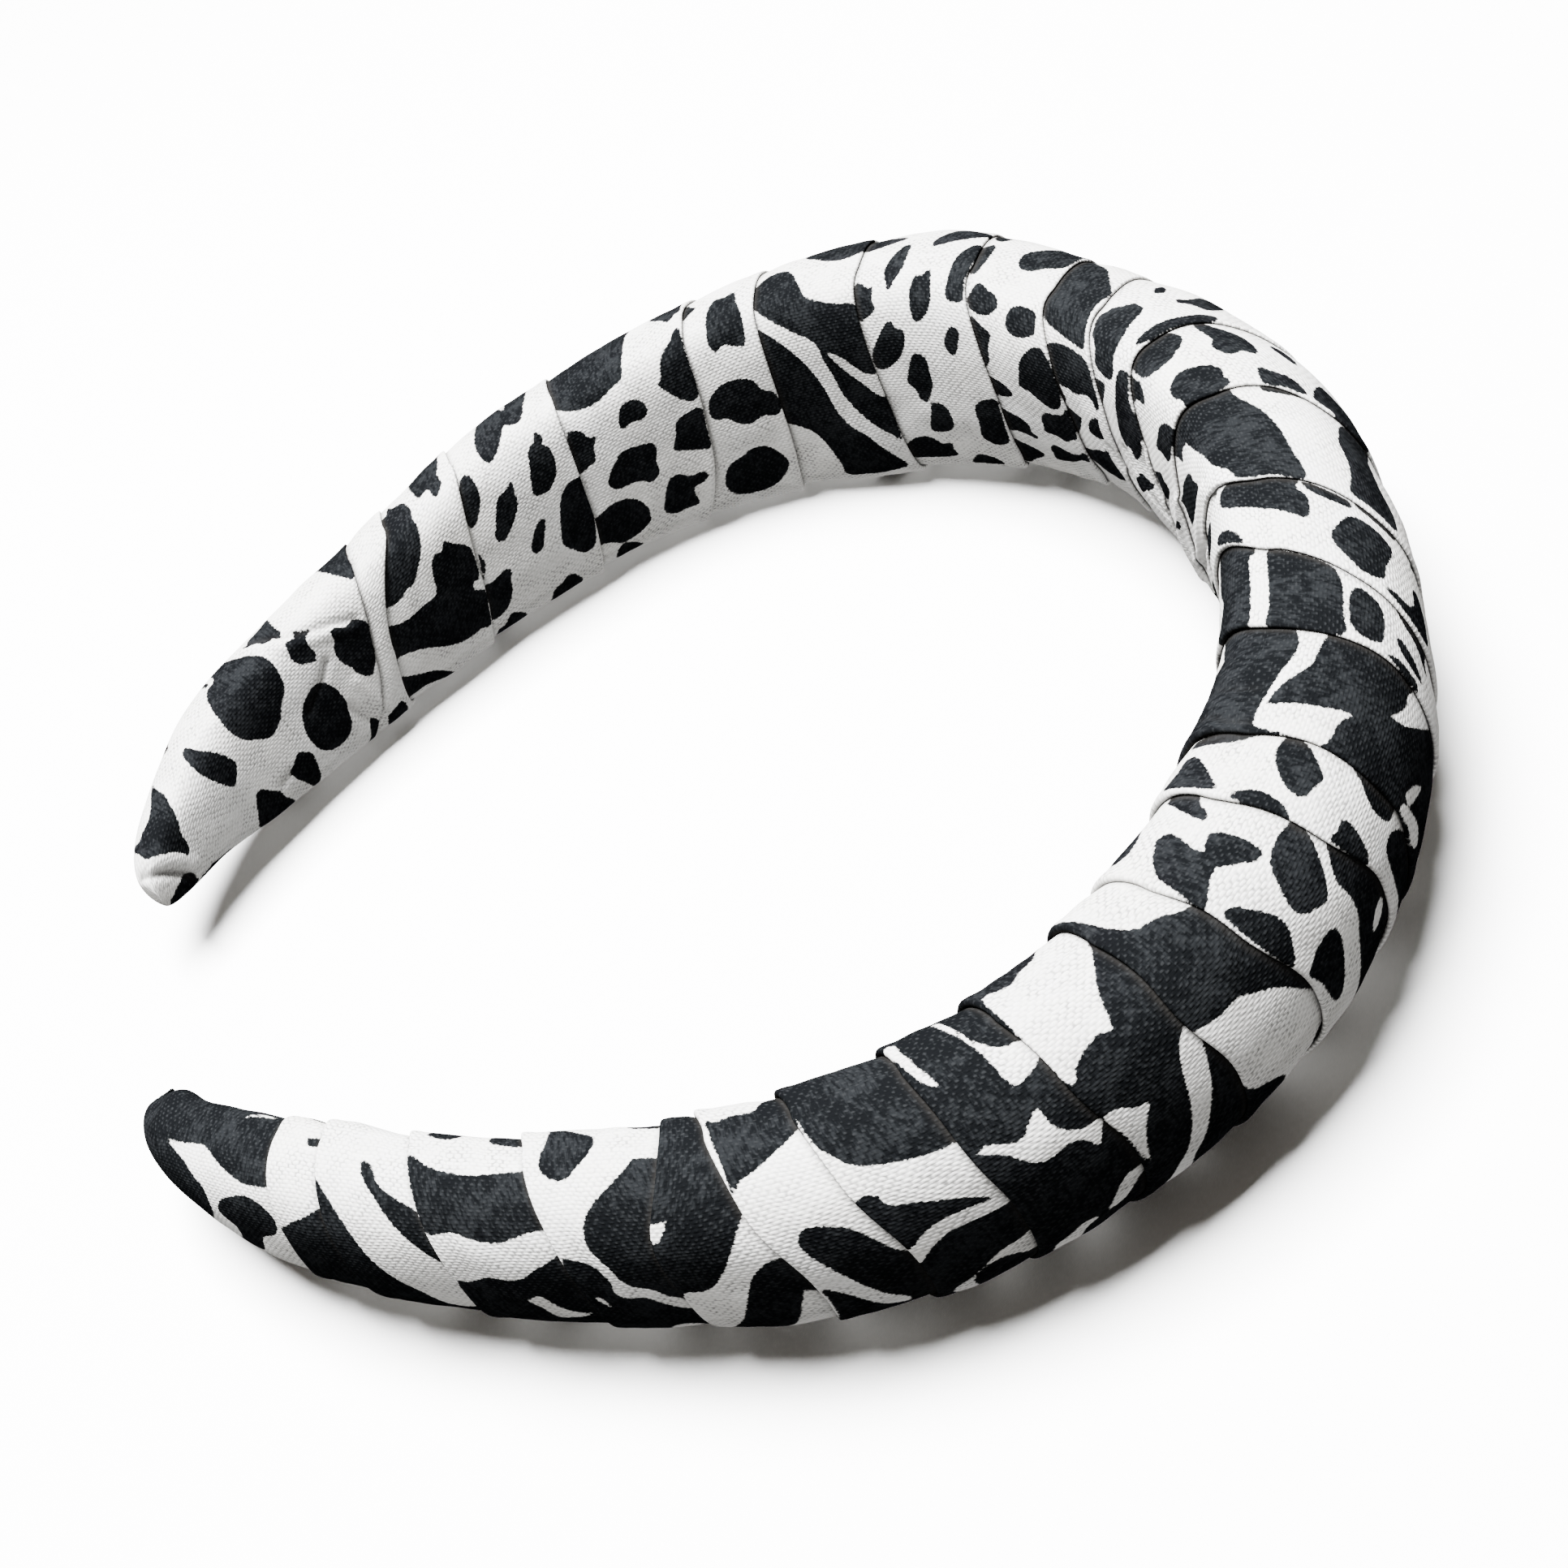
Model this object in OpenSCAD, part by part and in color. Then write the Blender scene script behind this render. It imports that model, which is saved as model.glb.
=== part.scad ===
// Padded headband: a stiff padded arch, wound from tip to tip in one folded strip of printed
// cotton, with a folded cloth cover at each tip. It lies on its side.
// +X points to the crown, the arms run back to -X, and +Z is up from the surface it lies on.

/* [Band] */
// Length along the inner face, from tip to tip
band_length = 380; // [350:2:410]
// Width over the cloth at the middle of the crown
crown_w = 35.6; // [31:0.2:40]
// Depth over the cloth at the middle of the crown, from the inner face to the outer
crown_d = 22.2; // [18:0.2:26]
// Length of the rounding at each tip
tip_round = 16.6; // [12:0.2:20]

/* [Arch] */
// Radius of the inner face over the crown
crown_r = 60.3; // [56:0.1:66]
// Angle that the crown's curve turns on each side of the middle
crown_turn = 59; // [54:1:64]
// Radius of the inner face beside the crown
temple_r = 55.8; // [52:0.1:62]
// Angle that the curve beside the crown turns
temple_turn = 44.5; // [40:0.5:49]
// Radius of the inner face along the arms
arm_r = 142; // [120:1:200]

/* [Cloth] */
// Thickness of the folded strip
cloth_t = 1; // [0.8:0.1:1.4]
// Clearance between one layer of cloth and the next
layer_gap = 0.15; // [0.1:0.05:0.3]
// Clearance between the pad and the cloth over it
pad_gap = 0.65; // [0.5:0.05:1]
// How far a turn runs on under the next one, as a share of that one's width
lap = 0.18; // [0.1:0.01:0.2]
// Thickness of a turn's covered edge, as a share of the strip's
tuck = 0.2; // [0.1:0.1:0.5]

/* [Section] */
// Depth at which the body is widest, as a share of its depth from the inner face
widest = 0.37; // [0.3:0.01:0.45]
// Fullness of the outer face, round at 1
dome = 0.9; // [0.8:0.05:1]
// Flatness of the inner face, flatter when lower
flatness = 0.55; // [0.45:0.05:0.8]
// Squareness of the top and bottom edges, squarer when lower
edge_fullness = 0.85; // [0.75:0.05:1]
// Corners round the body
sides = 28; // [20:4:36]

/* [Hidden] */
// Signed share of half the band at each station, near tip -1 to far tip +1, with the width and the
// lift of the middle line as shares of crown_w, and the depth as a share of crown_d
AT = 0;
WIDTH = 1;
DEPTH = 2;
LIFT = 3;
BODY = [
  // at, width, depth, lift
  [-1, 0.335, 0.34, -0.025],
  [-0.94, 0.42, 0.445, -0.015],
  [-0.87, 0.595, 0.565, 0],
  [-0.78, 0.715, 0.625, 0.01],
  [-0.65, 0.76, 0.685, 0.01],
  [-0.5, 0.845, 0.795, 0.015],
  [-0.37, 0.915, 0.9, 0.005],
  [-0.25, 0.98, 1.015, 0.01],
  [-0.14, 0.98, 1.02, 0],
  [-0.04, 1.005, 0.99, 0.005],
  [0.05, 0.98, 1, 0.005],
  [0.13, 0.925, 0.96, 0.015],
  [0.2, 0.9, 0.925, 0.01],
  [0.28, 0.935, 1.01, 0.01],
  [0.38, 0.96, 0.89, -0.015],
  [0.5, 0.865, 0.725, -0.01],
  [0.62, 0.785, 0.71, 0.005],
  [0.73, 0.705, 0.635, -0.01],
  [0.82, 0.66, 0.585, 0],
  [0.89, 0.58, 0.56, 0.015],
  [0.95, 0.4, 0.45, 0.01],
  [1, 0.355, 0.37, -0.005],
];

// Each turn's own hem, which lies over the turn before it: its place at the top edge, how far it leans
// toward the far tip at the outer face, the inner face and the bottom edge and how far it bellies between
// top and outer face, all as shares of crown_w, and the share of dark print on the turn that starts there.
// The last two rows are the far tip cover's edge, over the last turn, and the place where it closes down
OUT = 1;
IN = 2;
LOW = 3;
BELLY = 4;
DARK = 5;
HEMS = [
  // at, out, in, low, belly, dark
  [-0.833, 0.06, -0.03, -0.08, 0, 0.35],
  [-0.796, 0.08, -0.07, 0.01, 0, 0.45],
  [-0.733, 0.125, -0.09, 0.02, 0, 0.5],
  [-0.659, 0.125, -0.09, 0.02, 0, 0.55],
  [-0.577, -0.02, -0.06, -0.01, -0.035, 0.8],
  [-0.55, 0.175, -0.085, 0.05, -0.03, 0.7],
  [-0.504, 0.165, -0.075, 0.05, -0.025, 0.55],
  [-0.447, 0.105, -0.07, 0.02, -0.02, 0.6],
  [-0.396, 0.11, -0.08, 0.02, -0.03, 0.5],
  [-0.338, 0.075, -0.05, 0.02, -0.04, 0.7],
  [-0.301, 0.125, -0.065, 0.03, -0.04, 0.4],
  [-0.245, 0.12, -0.055, 0.03, -0.04, 0.4],
  [-0.205, 0.05, -0.11, -0.03, -0.02, 0.8],
  [-0.137, -0.02, 0.05, 0.02, 0.005, 0.6],
  [-0.086, -0.13, 0.2, 0.04, 0, 0.3],
  [-0.035, -0.15, 0.11, -0.02, -0.015, 0.45],
  [0.043, -0.19, -0.02, -0.1, -0.045, 0.5],
  [0.11, -0.18, -0.155, -0.17, -0.045, 0.4],
  [0.16, 0.075, -0.165, -0.05, 0, 0.35],
  [0.201, 0.055, -0.145, -0.05, 0, 0.4],
  [0.262, 0.075, -0.105, -0.01, 0, 0.35],
  [0.341, 0.02, -0.035, -0.02, 0, 0.45],
  [0.412, -0.005, 0.015, 0.09, 0, 0.3],
  [0.463, -0.03, 0.055, 0.21, 0, 0.4],
  [0.562, -0.03, 0.065, 0.13, 0, 0.35],
  [0.646, 0, 0.13, 0.2, 0.01, 0.4],
  [0.709, 0, 0.24, 0.24, 0, 0.15],
  [0.741, -0.02, 0.15, 0.3, 0, 0.35],
  [0.87, 0, 0, 0, 0, 0.35],
];
// Middle and half spread of that belly, as angles round the section
BELLY_AT = 38;
BELLY_SPREAD = 26;

// The near tip cover's share of dark print
NEAR_DARK = 0.8;
// The cloth's off-white, the print's charcoal and the pad's grey
PALE = [0.92, 0.91, 0.88];
INK = [0.17, 0.18, 0.2];
PAD_COLOR = [0.86, 0.86, 0.84];

// The tips' rounding, as angles from the tip to the full section
ROUNDING = [0, 25, 55, 90];
// A tip's own width and depth, as shares of those where the rounding starts
TIP_WIDTH = 0.25;
TIP_DEPTH = 0.3;
// Place along each arm where the band touches the surface it lies on, as a share of half the band
REST_AT = 0.55;
// Spacing of the pad's sections along the inner face
PAD_STEP = 17;

half_len = band_length / 2;
crown_len = crown_r * crown_turn * PI / 180;
temple_len = temple_r * temple_turn * PI / 180;
turn_count = len(HEMS) - 2;

// Offsets of each cloth face from the wrap's mean surface, where a turn lies over another or under it
layer = cloth_t + layer_gap;
over_top = layer / 2;
over_under = over_top - cloth_t;
under_top = -layer / 2;
under_under = under_top - cloth_t;
tucked_top = under_under + tuck * cloth_t;
pad_skin = under_under - pad_gap;
tip_wall = -under_under;

function digits(k) = k < 10 ? str("0", k) : str(k);
function turn_name(k) = str("wrap_turn_", digits(k + 1));
TURNS = [for (k = [0 : turn_count - 1]) turn_name(k)];

// A table column at any place along the band, as one smooth curve through its rows
function row(u, k = 0) = k >= len(BODY) - 2 || u < BODY[k + 1][AT] ? k : row(u, k + 1);
function slope(k, col) =
  let (a = BODY[max(k - 1, 0)], b = BODY[min(k + 1, len(BODY) - 1)])
  (b[col] - a[col]) / (b[AT] - a[AT]);
function smooth(u, col) =
  let (k = row(u), a = BODY[k], b = BODY[k + 1], h = b[AT] - a[AT], t = (u - a[AT]) / h)
  (1 + 2 * t) * pow(1 - t, 2) * a[col] + t * pow(1 - t, 2) * h * slope(k, col)
  + t * t * (3 - 2 * t) * b[col] + t * t * (t - 1) * h * slope(k + 1, col);

// Width and depth over the cloth at a place s mm along the inner face from the middle of the crown
function roundness(s) = let (t = min((half_len - abs(s)) / tip_round, 1)) sqrt(max(1 - pow(1 - t, 2), 0));
function width_at(s) = crown_w * smooth(s / half_len, WIDTH) * (TIP_WIDTH + (1 - TIP_WIDTH) * roundness(s));
function depth_at(s) = crown_d * smooth(s / half_len, DEPTH) * (TIP_DEPTH + (1 - TIP_DEPTH) * roundness(s));

// The arch's inner face, m mm from the middle of the crown: three arcs, each tangent to the next
function crown_angle(m) = min(m / crown_len, 1) * crown_turn;
function temple_angle(m) = crown_angle(m) + max(min((m - crown_len) / temple_len, 1), 0) * temple_turn;
function heading(m) = temple_angle(m) + max(m - crown_len - temple_len, 0) / arm_r * 180 / PI;
function arc(r, a, b) = r * [cos(b) - cos(a), sin(b) - sin(a)];
function arch(m) =
  arc(crown_r, 0, crown_angle(m)) + arc(temple_r, crown_angle(m), temple_angle(m))
  + arc(arm_r, temple_angle(m), heading(m));

// Slope of the middle line, so that the crown and both arms touch the surface below
arm_width = (width_at(REST_AT * half_len) + width_at(-REST_AT * half_len)) / 2;
settle = (crown_w - arm_width) / 2 / -arch(REST_AT * half_len)[0];

// The section's own outline: 0 is the outer face, 90 the top edge, 180 the inner face, 270 the bottom edge
function bow(a) =
  cos(a) > 0 ? widest + (1 - widest) * pow(cos(a), dome) : widest * (1 - pow(-cos(a), flatness));
function rise(a) = sign(sin(a)) * pow(abs(sin(a)), edge_fullness);

// A point s mm along, a degrees round and off mm outside the wrap's mean surface
function skin(s, a, off) =
  let (m = abs(s), h = heading(m), p = arch(m))
  let (out = bow(a) * (depth_at(s) + 2 * off) - off, side = s < 0 ? -1 : 1)
  let (middle = crown_w / 2 + settle * p[0] + crown_w * smooth(s / half_len, LIFT))
  [p[0] + out * cos(h), side * (p[1] + out * sin(h)), middle + rise(a) * (width_at(s) / 2 + off)];

// Place of hem k at a degrees round, leaning as its row says, and a place between it and the next hem
function lean(r, a) =
  (r[OUT] + r[IN] + r[LOW]) / 4 + (r[OUT] - r[IN]) / 2 * cos(a) - r[LOW] / 2 * sin(a)
  + (r[OUT] + r[IN] - r[LOW]) / 4 * cos(2 * a);
function belly(a) =
  let (turn = a > 180 + BELLY_AT ? a - 360 : a)
  exp(-pow((turn - BELLY_AT) / BELLY_SPREAD, 2));
function hem(k, a) = half_len * HEMS[k][AT] + crown_w * (lean(HEMS[k], a) + HEMS[k][BELLY] * belly(a));
function between(k, f, a) = f == 0 ? hem(k, a) : hem(k, a) + f * (hem(k + 1, a) - hem(k, a));

// Rings of points: at hem k and a share f of the way to the next, or at one place s all round
CORNERS = [for (i = [0 : sides - 1]) 360 * i / sides];
function hem_ring(k, f, off) = [for (a = CORNERS) skin(between(k, f, a), a, off)];
function flat_ring(s, off) = [for (a = CORNERS) skin(s, a, off)];

// Faces between ring j and ring j + 1 of count rings, and the flat end over ring j
function band_faces(j, count) =
  let (a = j * sides, b = ((j + 1) % count) * sides)
  [for (i = [0 : sides - 1]) let (n = (i + 1) % sides) each [[a + i, b + n, b + i], [a + i, a + n, b + n]]];
function end_faces(j) = [for (i = [1 : sides - 2]) [j * sides, j * sides + i, j * sides + i + 1]];
function flip(faces) = [for (f = faces) [f[2], f[1], f[0]]];
function tube_faces(count) = [for (j = [0 : count - 1]) each band_faces(j, count)];
function capped_faces(count) =
  concat([for (j = [0 : count - 2]) each band_faces(j, count)], flip(end_faces(0)), end_faces(count - 1));

// Rings of each piece, in order over its outside and back along its inside
function turn_rings(k) = [
  hem_ring(k, 0, over_top),
  hem_ring(k + 1, 0, under_top),
  hem_ring(k + 1, lap, tucked_top),
  hem_ring(k + 1, lap, under_under),
  hem_ring(k + 1, 0, under_under),
  hem_ring(k, 0, over_under),
];
function tip_places(end) = [for (a = ROUNDING) half_len - end - tip_round * (1 - cos(a))];
function near_cover_rings() = concat(
  [for (s = tip_places(0)) flat_ring(-s, 0)],
  [hem_ring(0, 0, under_top), hem_ring(0, lap, tucked_top)],
  [hem_ring(0, lap, under_under), hem_ring(0, 0, under_under)],
  [for (i = [len(ROUNDING) - 1 : -1 : 0]) flat_ring(-tip_places(tip_wall)[i], under_under)]);
function far_cover_rings() = concat(
  [for (i = [0 : len(ROUNDING) - 1]) flat_ring(tip_places(tip_wall)[i], under_under)],
  [hem_ring(turn_count + 1, 0, under_under), hem_ring(turn_count, 0, over_under)],
  [hem_ring(turn_count, 0, over_top), hem_ring(turn_count + 1, 0, 0)],
  [for (i = [len(ROUNDING) - 1 : -1 : 0]) flat_ring(tip_places(0)[i], 0)]);
function pad_rings() =
  let (tip = tip_places(tip_wall + pad_gap), reach = tip[len(tip) - 1], n = ceil(2 * reach / PAD_STEP))
  concat(
    [for (i = [0 : len(tip) - 2]) flat_ring(-tip[i], pad_skin)],
    [for (i = [0 : n]) flat_ring(reach * (2 * i / n - 1), pad_skin)],
    [for (i = [len(tip) - 2 : -1 : 0]) flat_ring(tip[i], pad_skin)]);

// Centre of the whole band's box on the surface below
TURN_POINTS = [for (k = [0 : turn_count - 1]) each [for (ring = turn_rings(k)) each ring]];
COVER_POINTS = [for (ring = concat(near_cover_rings(), far_cover_rings())) each ring];
CLOTH_POINTS = concat(TURN_POINTS, COVER_POINTS);
function low(i) = min([for (p = CLOTH_POINTS) p[i]]);
function high(i) = max([for (p = CLOTH_POINTS) p[i]]);
home = [(low(0) + high(0)) / 2, (low(1) + high(1)) / 2, low(2)];

function ink(share) = PALE + share * (INK - PALE);

module rings_solid(rings, faces) {
  translate(-home)
    polyhedron(points = [for (ring = rings) each ring], faces = faces, convexity = 6);
}

// The stiff arch and the pad round it, as one tapering body under the cloth
module padded_core() {
  rings = pad_rings();
  color(PAD_COLOR)
    rings_solid(rings, capped_faces(len(rings)));
}

// One turn of the folded strip, from its own hem to the edge tucked under the next turn
module wrap_turn(k) {
  rings = turn_rings(k);
  color(ink(HEMS[k][DARK]))
    rings_solid(rings, tube_faces(len(rings)));
}

// Cloth folded over the near tip, its open end under the first turn
module near_tip_cover() {
  rings = near_cover_rings();
  color(ink(NEAR_DARK))
    rings_solid(rings, capped_faces(len(rings)));
}

// Cloth folded over the far tip, its open end over the last turn
module far_tip_cover() {
  rings = far_cover_rings();
  color(ink(HEMS[turn_count][DARK]))
    rings_solid(rings, capped_faces(len(rings)));
}

padded_core();
for (k = [0 : turn_count - 1])
  wrap_turn(k);
near_tip_cover();
far_tip_cover();
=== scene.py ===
import math

import bpy
import numpy as np
from mathutils import Matrix, Vector


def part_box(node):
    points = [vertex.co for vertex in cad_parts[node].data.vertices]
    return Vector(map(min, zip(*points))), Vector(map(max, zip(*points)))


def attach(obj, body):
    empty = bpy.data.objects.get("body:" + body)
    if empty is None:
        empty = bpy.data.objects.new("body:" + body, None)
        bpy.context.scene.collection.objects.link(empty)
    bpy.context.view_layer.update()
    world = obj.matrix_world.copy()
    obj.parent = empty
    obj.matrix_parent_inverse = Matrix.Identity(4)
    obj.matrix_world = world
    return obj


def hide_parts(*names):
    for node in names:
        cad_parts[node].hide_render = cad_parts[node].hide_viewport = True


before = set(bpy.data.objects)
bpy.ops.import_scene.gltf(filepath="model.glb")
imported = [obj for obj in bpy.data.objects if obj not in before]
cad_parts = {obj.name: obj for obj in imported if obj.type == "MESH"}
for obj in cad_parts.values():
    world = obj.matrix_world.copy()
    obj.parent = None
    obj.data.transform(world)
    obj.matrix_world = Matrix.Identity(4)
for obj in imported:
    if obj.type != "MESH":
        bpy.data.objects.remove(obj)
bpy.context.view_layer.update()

# Padded headband, wound in one folded strip of printed cotton. Lengths are in mm until the meshes are
# made. The sizes, the body's sections and the hems repeat those of the part's source.

MM = 0.001
BAND_LENGTH = 380.0
HALF = BAND_LENGTH / 2
CROWN_W = 35.6
CROWN_D = 22.2
TIP_ROUND = 16.6
CROWN_R, CROWN_TURN = 60.3, 59.0
TEMPLE_R, TEMPLE_TURN = 55.8, 44.5
ARM_R = 142.0
CLOTH_T = 1.0
LAYER_GAP = 0.15
LAP = 0.18
WIDEST = 0.37
DOME = 0.9
FLATNESS = 0.55
EDGE_FULLNESS = 0.85
TIP_WIDTH = 0.25
TIP_DEPTH = 0.3
REST_AT = 0.55
BELLY_AT = 38
BELLY_SPREAD = 26.0
OVER_TOP = (CLOTH_T + LAYER_GAP) / 2
UNDER_TOP = -OVER_TOP
SOLID_SIDES = 28

# The visual cloth, off the wrap's mean surface: its outer face at a hem and where the next hem starts, its
# thickness, its dip where it is tucked in, how far a turn puffs out between its hems, and the pad's skin
TOP_AT_HEM = 0.22
TOP_TUCKED = -0.2
THICK = 0.36
TUCK_DIP = 0.06
PUFF = 0.45
CORE_SKIN = -1.2
# How wide the painted shade is beside a hem and down in a fold
TUCK_SHADE = 0.55
FOLD_SHADE = 0.35
# The least height above the floor, of the cloth and of the pad
CLOTH_FLOOR = 0.02
PAD_FLOOR = 0.7
# At a hem: the height of the bead along its turned-in edge and the depth of the dip behind it, how far in mm
# its extra height fades out, and how full its fold is
BEAD = 0.04
STAND_REACH = 9.0
FOLD_FULLNESS = 0.9
# On the covers: over how many mm the near one sinks in under the first hem and the far one goes level past
# its own, how far their closed ends bulge, and over how many rings the lining draws back there
NEAR_SINK = 5.0
FAR_LEVEL = 14.0
NEAR_BULGE, FAR_BULGE = 1.9, 0.9
LINING_EASE = 8.0

# Sections from the near tip, -1, to the far tip, 1
BODY = np.array([
    # at, width, depth, lift
    [-1, 0.33, 0.39, -0.055],
    [-0.94, 0.425, 0.45, -0.02],
    [-0.87, 0.595, 0.565, 0],
    [-0.78, 0.715, 0.625, 0.01],
    [-0.65, 0.76, 0.685, 0.01],
    [-0.5, 0.845, 0.795, 0.015],
    [-0.37, 0.915, 0.9, 0.005],
    [-0.25, 0.98, 1.015, 0.01],
    [-0.14, 0.98, 1.02, 0],
    [-0.04, 1.005, 0.99, 0.005],
    [0.05, 0.98, 1, 0.005],
    [0.13, 0.925, 0.96, 0.015],
    [0.2, 0.9, 0.925, 0.01],
    [0.28, 0.935, 1.01, 0.01],
    [0.38, 0.96, 0.89, -0.015],
    [0.5, 0.865, 0.725, -0.01],
    [0.62, 0.785, 0.71, 0.005],
    [0.73, 0.705, 0.635, -0.01],
    [0.82, 0.66, 0.585, 0],
    [0.89, 0.58, 0.56, 0.015],
    [0.95, 0.4, 0.45, 0.01],
    [1, 0.355, 0.37, -0.005],
])

# Each turn's own hem: its place at the top edge, its leans and its belly, as in the source, then how
# high in mm it stands at the inner top edge, and its cloth's ground. The last row is the far cover's
# edge
HEMS = [
    # at, out, in, low, belly, stand, ground
    [-0.833, 0.06, -0.03, -0.08, 0, 0.1, "pale"],
    [-0.796, 0.08, -0.07, 0.01, 0, 0.2, "pale"],
    [-0.733, 0.125, -0.09, 0.02, 0, 0.25, "pale"],
    [-0.659, 0.125, -0.09, 0.02, 0, 0.25, "pale"],
    [-0.577, -0.02, -0.06, -0.01, -0.035, 0.15, "dark"],
    [-0.55, 0.175, -0.085, 0.05, -0.03, 0.35, "pale"],
    [-0.504, 0.165, -0.075, 0.05, -0.025, 0.4, "dark"],
    [-0.447, 0.105, -0.07, 0.02, -0.02, 0.4, "dark"],
    [-0.396, 0.11, -0.08, 0.02, -0.03, 0.45, "dark"],
    [-0.338, 0.075, -0.05, 0.02, -0.04, 0.45, "dark"],
    [-0.301, 0.125, -0.065, 0.03, -0.04, 0.45, "pale"],
    [-0.245, 0.12, -0.055, 0.03, -0.04, 0.4, "pale"],
    [-0.205, 0.05, -0.11, -0.03, -0.02, 0.4, "dark"],
    [-0.137, -0.02, 0.05, 0.02, 0.005, 0.3, "pale"],
    [-0.086, -0.13, 0.2, 0.04, 0, 0.2, "pale"],
    [-0.035, -0.15, 0.11, -0.02, -0.015, 0.2, "pale"],
    [0.043, -0.19, -0.02, -0.1, -0.045, 0.25, "pale"],
    [0.11, -0.18, -0.155, -0.17, -0.045, 0.3, "pale"],
    [0.16, 0.075, -0.165, -0.05, 0, 0.3, "pale"],
    [0.201, 0.055, -0.145, -0.05, 0, 0.3, "pale"],
    [0.262, 0.075, -0.105, -0.01, 0, 0.3, "pale"],
    [0.341, 0.02, -0.035, -0.02, 0, 0.3, "pale"],
    [0.412, -0.005, 0.015, 0.09, 0, 0.35, "pale"],
    [0.463, -0.03, 0.055, 0.21, 0, 0.35, "pale"],
    [0.562, -0.03, 0.065, 0.13, 0, 0.35, "pale"],
    [0.646, 0, 0.13, 0.2, 0.01, 0.3, "pale"],
    [0.709, 0, 0.24, 0.24, 0, 0.2, "pale"],
    [0.741, -0.02, 0.15, 0.3, 0, 0.3, "pale"],
]
AT, OUT, IN, LOW, BELLY, STAND, TONE = range(7)
TURNS = len(HEMS) - 1
FAR_EDGE = TURNS

# Mesh steps: the mean side of a face, where the rings start and end, the parts of a hem's fold, the rings
# along each cover's body and round its tip, and how many outer rings the lining skips
STEP = 0.42
SEAM_AT = -70.0
FOLD_STEPS = 6
NEAR_RINGS, FAR_RINGS = 40, 76
TIP_RINGS = 43
LINING_SKIPS = 3
CAP_SHARES = np.array([0.9, 0.72, 0.5, 0.25])
# Rings of the tucked lap, outside and inside, and of a turn's inner face, as shares of the lap and the turn
LAP_OUTSIDE = np.array([0.2, 0.4, 0.7, 1.0])
LAP_INSIDE = np.array([1.0, 0.5])
TURN_INSIDE = np.array([1, 0.75, 0.5, 0.25, 0])
# Where round the section each cover's rings are evenly split, by place along in mm
NEAR_EVEN_AT, FAR_EVEN_AT = -170.0, 165.0
CORE_RINGS, CORE_SIDES = 121, 64
# The narrowest flat sheet that a turn is cut from
LEAST_FLAT = 11.0


# ---- the band's form ----

def track(u, col):
    """A column of BODY at u, by smooth steps through its rows."""
    x, y = BODY[:, 0], BODY[:, col]
    m = np.empty(len(x))
    m[1:-1] = (y[2:] - y[:-2]) / (x[2:] - x[:-2])
    m[0] = (y[1] - y[0]) / (x[1] - x[0])
    m[-1] = (y[-1] - y[-2]) / (x[-1] - x[-2])
    u = np.clip(u, -1, 1)
    i = np.clip(np.searchsorted(x, u, "right") - 1, 0, len(x) - 2)
    h = x[i + 1] - x[i]
    t = (u - x[i]) / h
    return ((1 + 2 * t) * (1 - t) ** 2 * y[i] + t * (1 - t) ** 2 * h * m[i]
            + t * t * (3 - 2 * t) * y[i + 1] + t * t * (t - 1) * h * m[i + 1])


def arch(m):
    """The inner face's places in plan m mm from the crown, and its headings there."""
    a1, a2 = math.radians(CROWN_TURN), math.radians(TEMPLE_TURN)
    l1, l2 = a1 * CROWN_R, a2 * TEMPLE_R
    t1 = np.minimum(m, l1) / CROWN_R
    t2 = t1 + np.clip(m - l1, 0, l2) / TEMPLE_R
    t3 = t2 + np.maximum(m - l1 - l2, 0) / ARM_R

    def run(r, a, b):
        return r * np.stack([np.cos(b) - np.cos(a), np.sin(b) - np.sin(a)], -1)
    return run(CROWN_R, 0 * t1, t1) + run(TEMPLE_R, t1, t2) + run(ARM_R, t2, t3), t3


def size_at(s):
    """The section's width and depth s mm along."""
    t = np.clip((HALF - np.abs(s)) / TIP_ROUND, 0, 1)
    r = np.sqrt(np.clip(1 - (1 - t) ** 2, 0, 1))
    return (CROWN_W * track(s / HALF, 1) * (TIP_WIDTH + (1 - TIP_WIDTH) * r),
            CROWN_D * track(s / HALF, 2) * (TIP_DEPTH + (1 - TIP_DEPTH) * r))


def settle_slope():
    """The tilt that lets the crown and both arms rest on the floor."""
    w = size_at(np.array([0, REST_AT * HALF, -REST_AT * HALF]))[0]
    x = arch(np.array([REST_AT * HALF]))[0][0, 0]
    return (CROWN_W - (w[1] + w[2]) / 2) / 2 / -x


SETTLE = settle_slope()


def skin(s, a, off, home):
    """Points s mm along, a degrees round and off mm outside the wrap's mean surface."""
    s, a, off = np.broadcast_arrays(np.asarray(s, float), np.radians(a), np.asarray(off, float))
    p, h = arch(np.abs(s))
    w, d = size_at(s)
    c, n = np.cos(a), np.sin(a)
    outer = WIDEST + (1 - WIDEST) * np.abs(c) ** DOME
    bow = np.where(c > 0, outer, WIDEST - WIDEST * np.abs(c) ** FLATNESS)
    rise = np.sign(n) * np.abs(n) ** EDGE_FULLNESS
    out = bow * (d + 2 * off) - off
    z = CROWN_W / 2 + SETTLE * p[..., 0] + CROWN_W * track(s / HALF, 3) + rise * (w / 2 + off)
    side = np.where(s < 0, -1, 1)
    return np.stack([p[..., 0] + out * np.cos(h), side * (p[..., 1] + out * np.sin(h)), z], -1) - home


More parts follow.
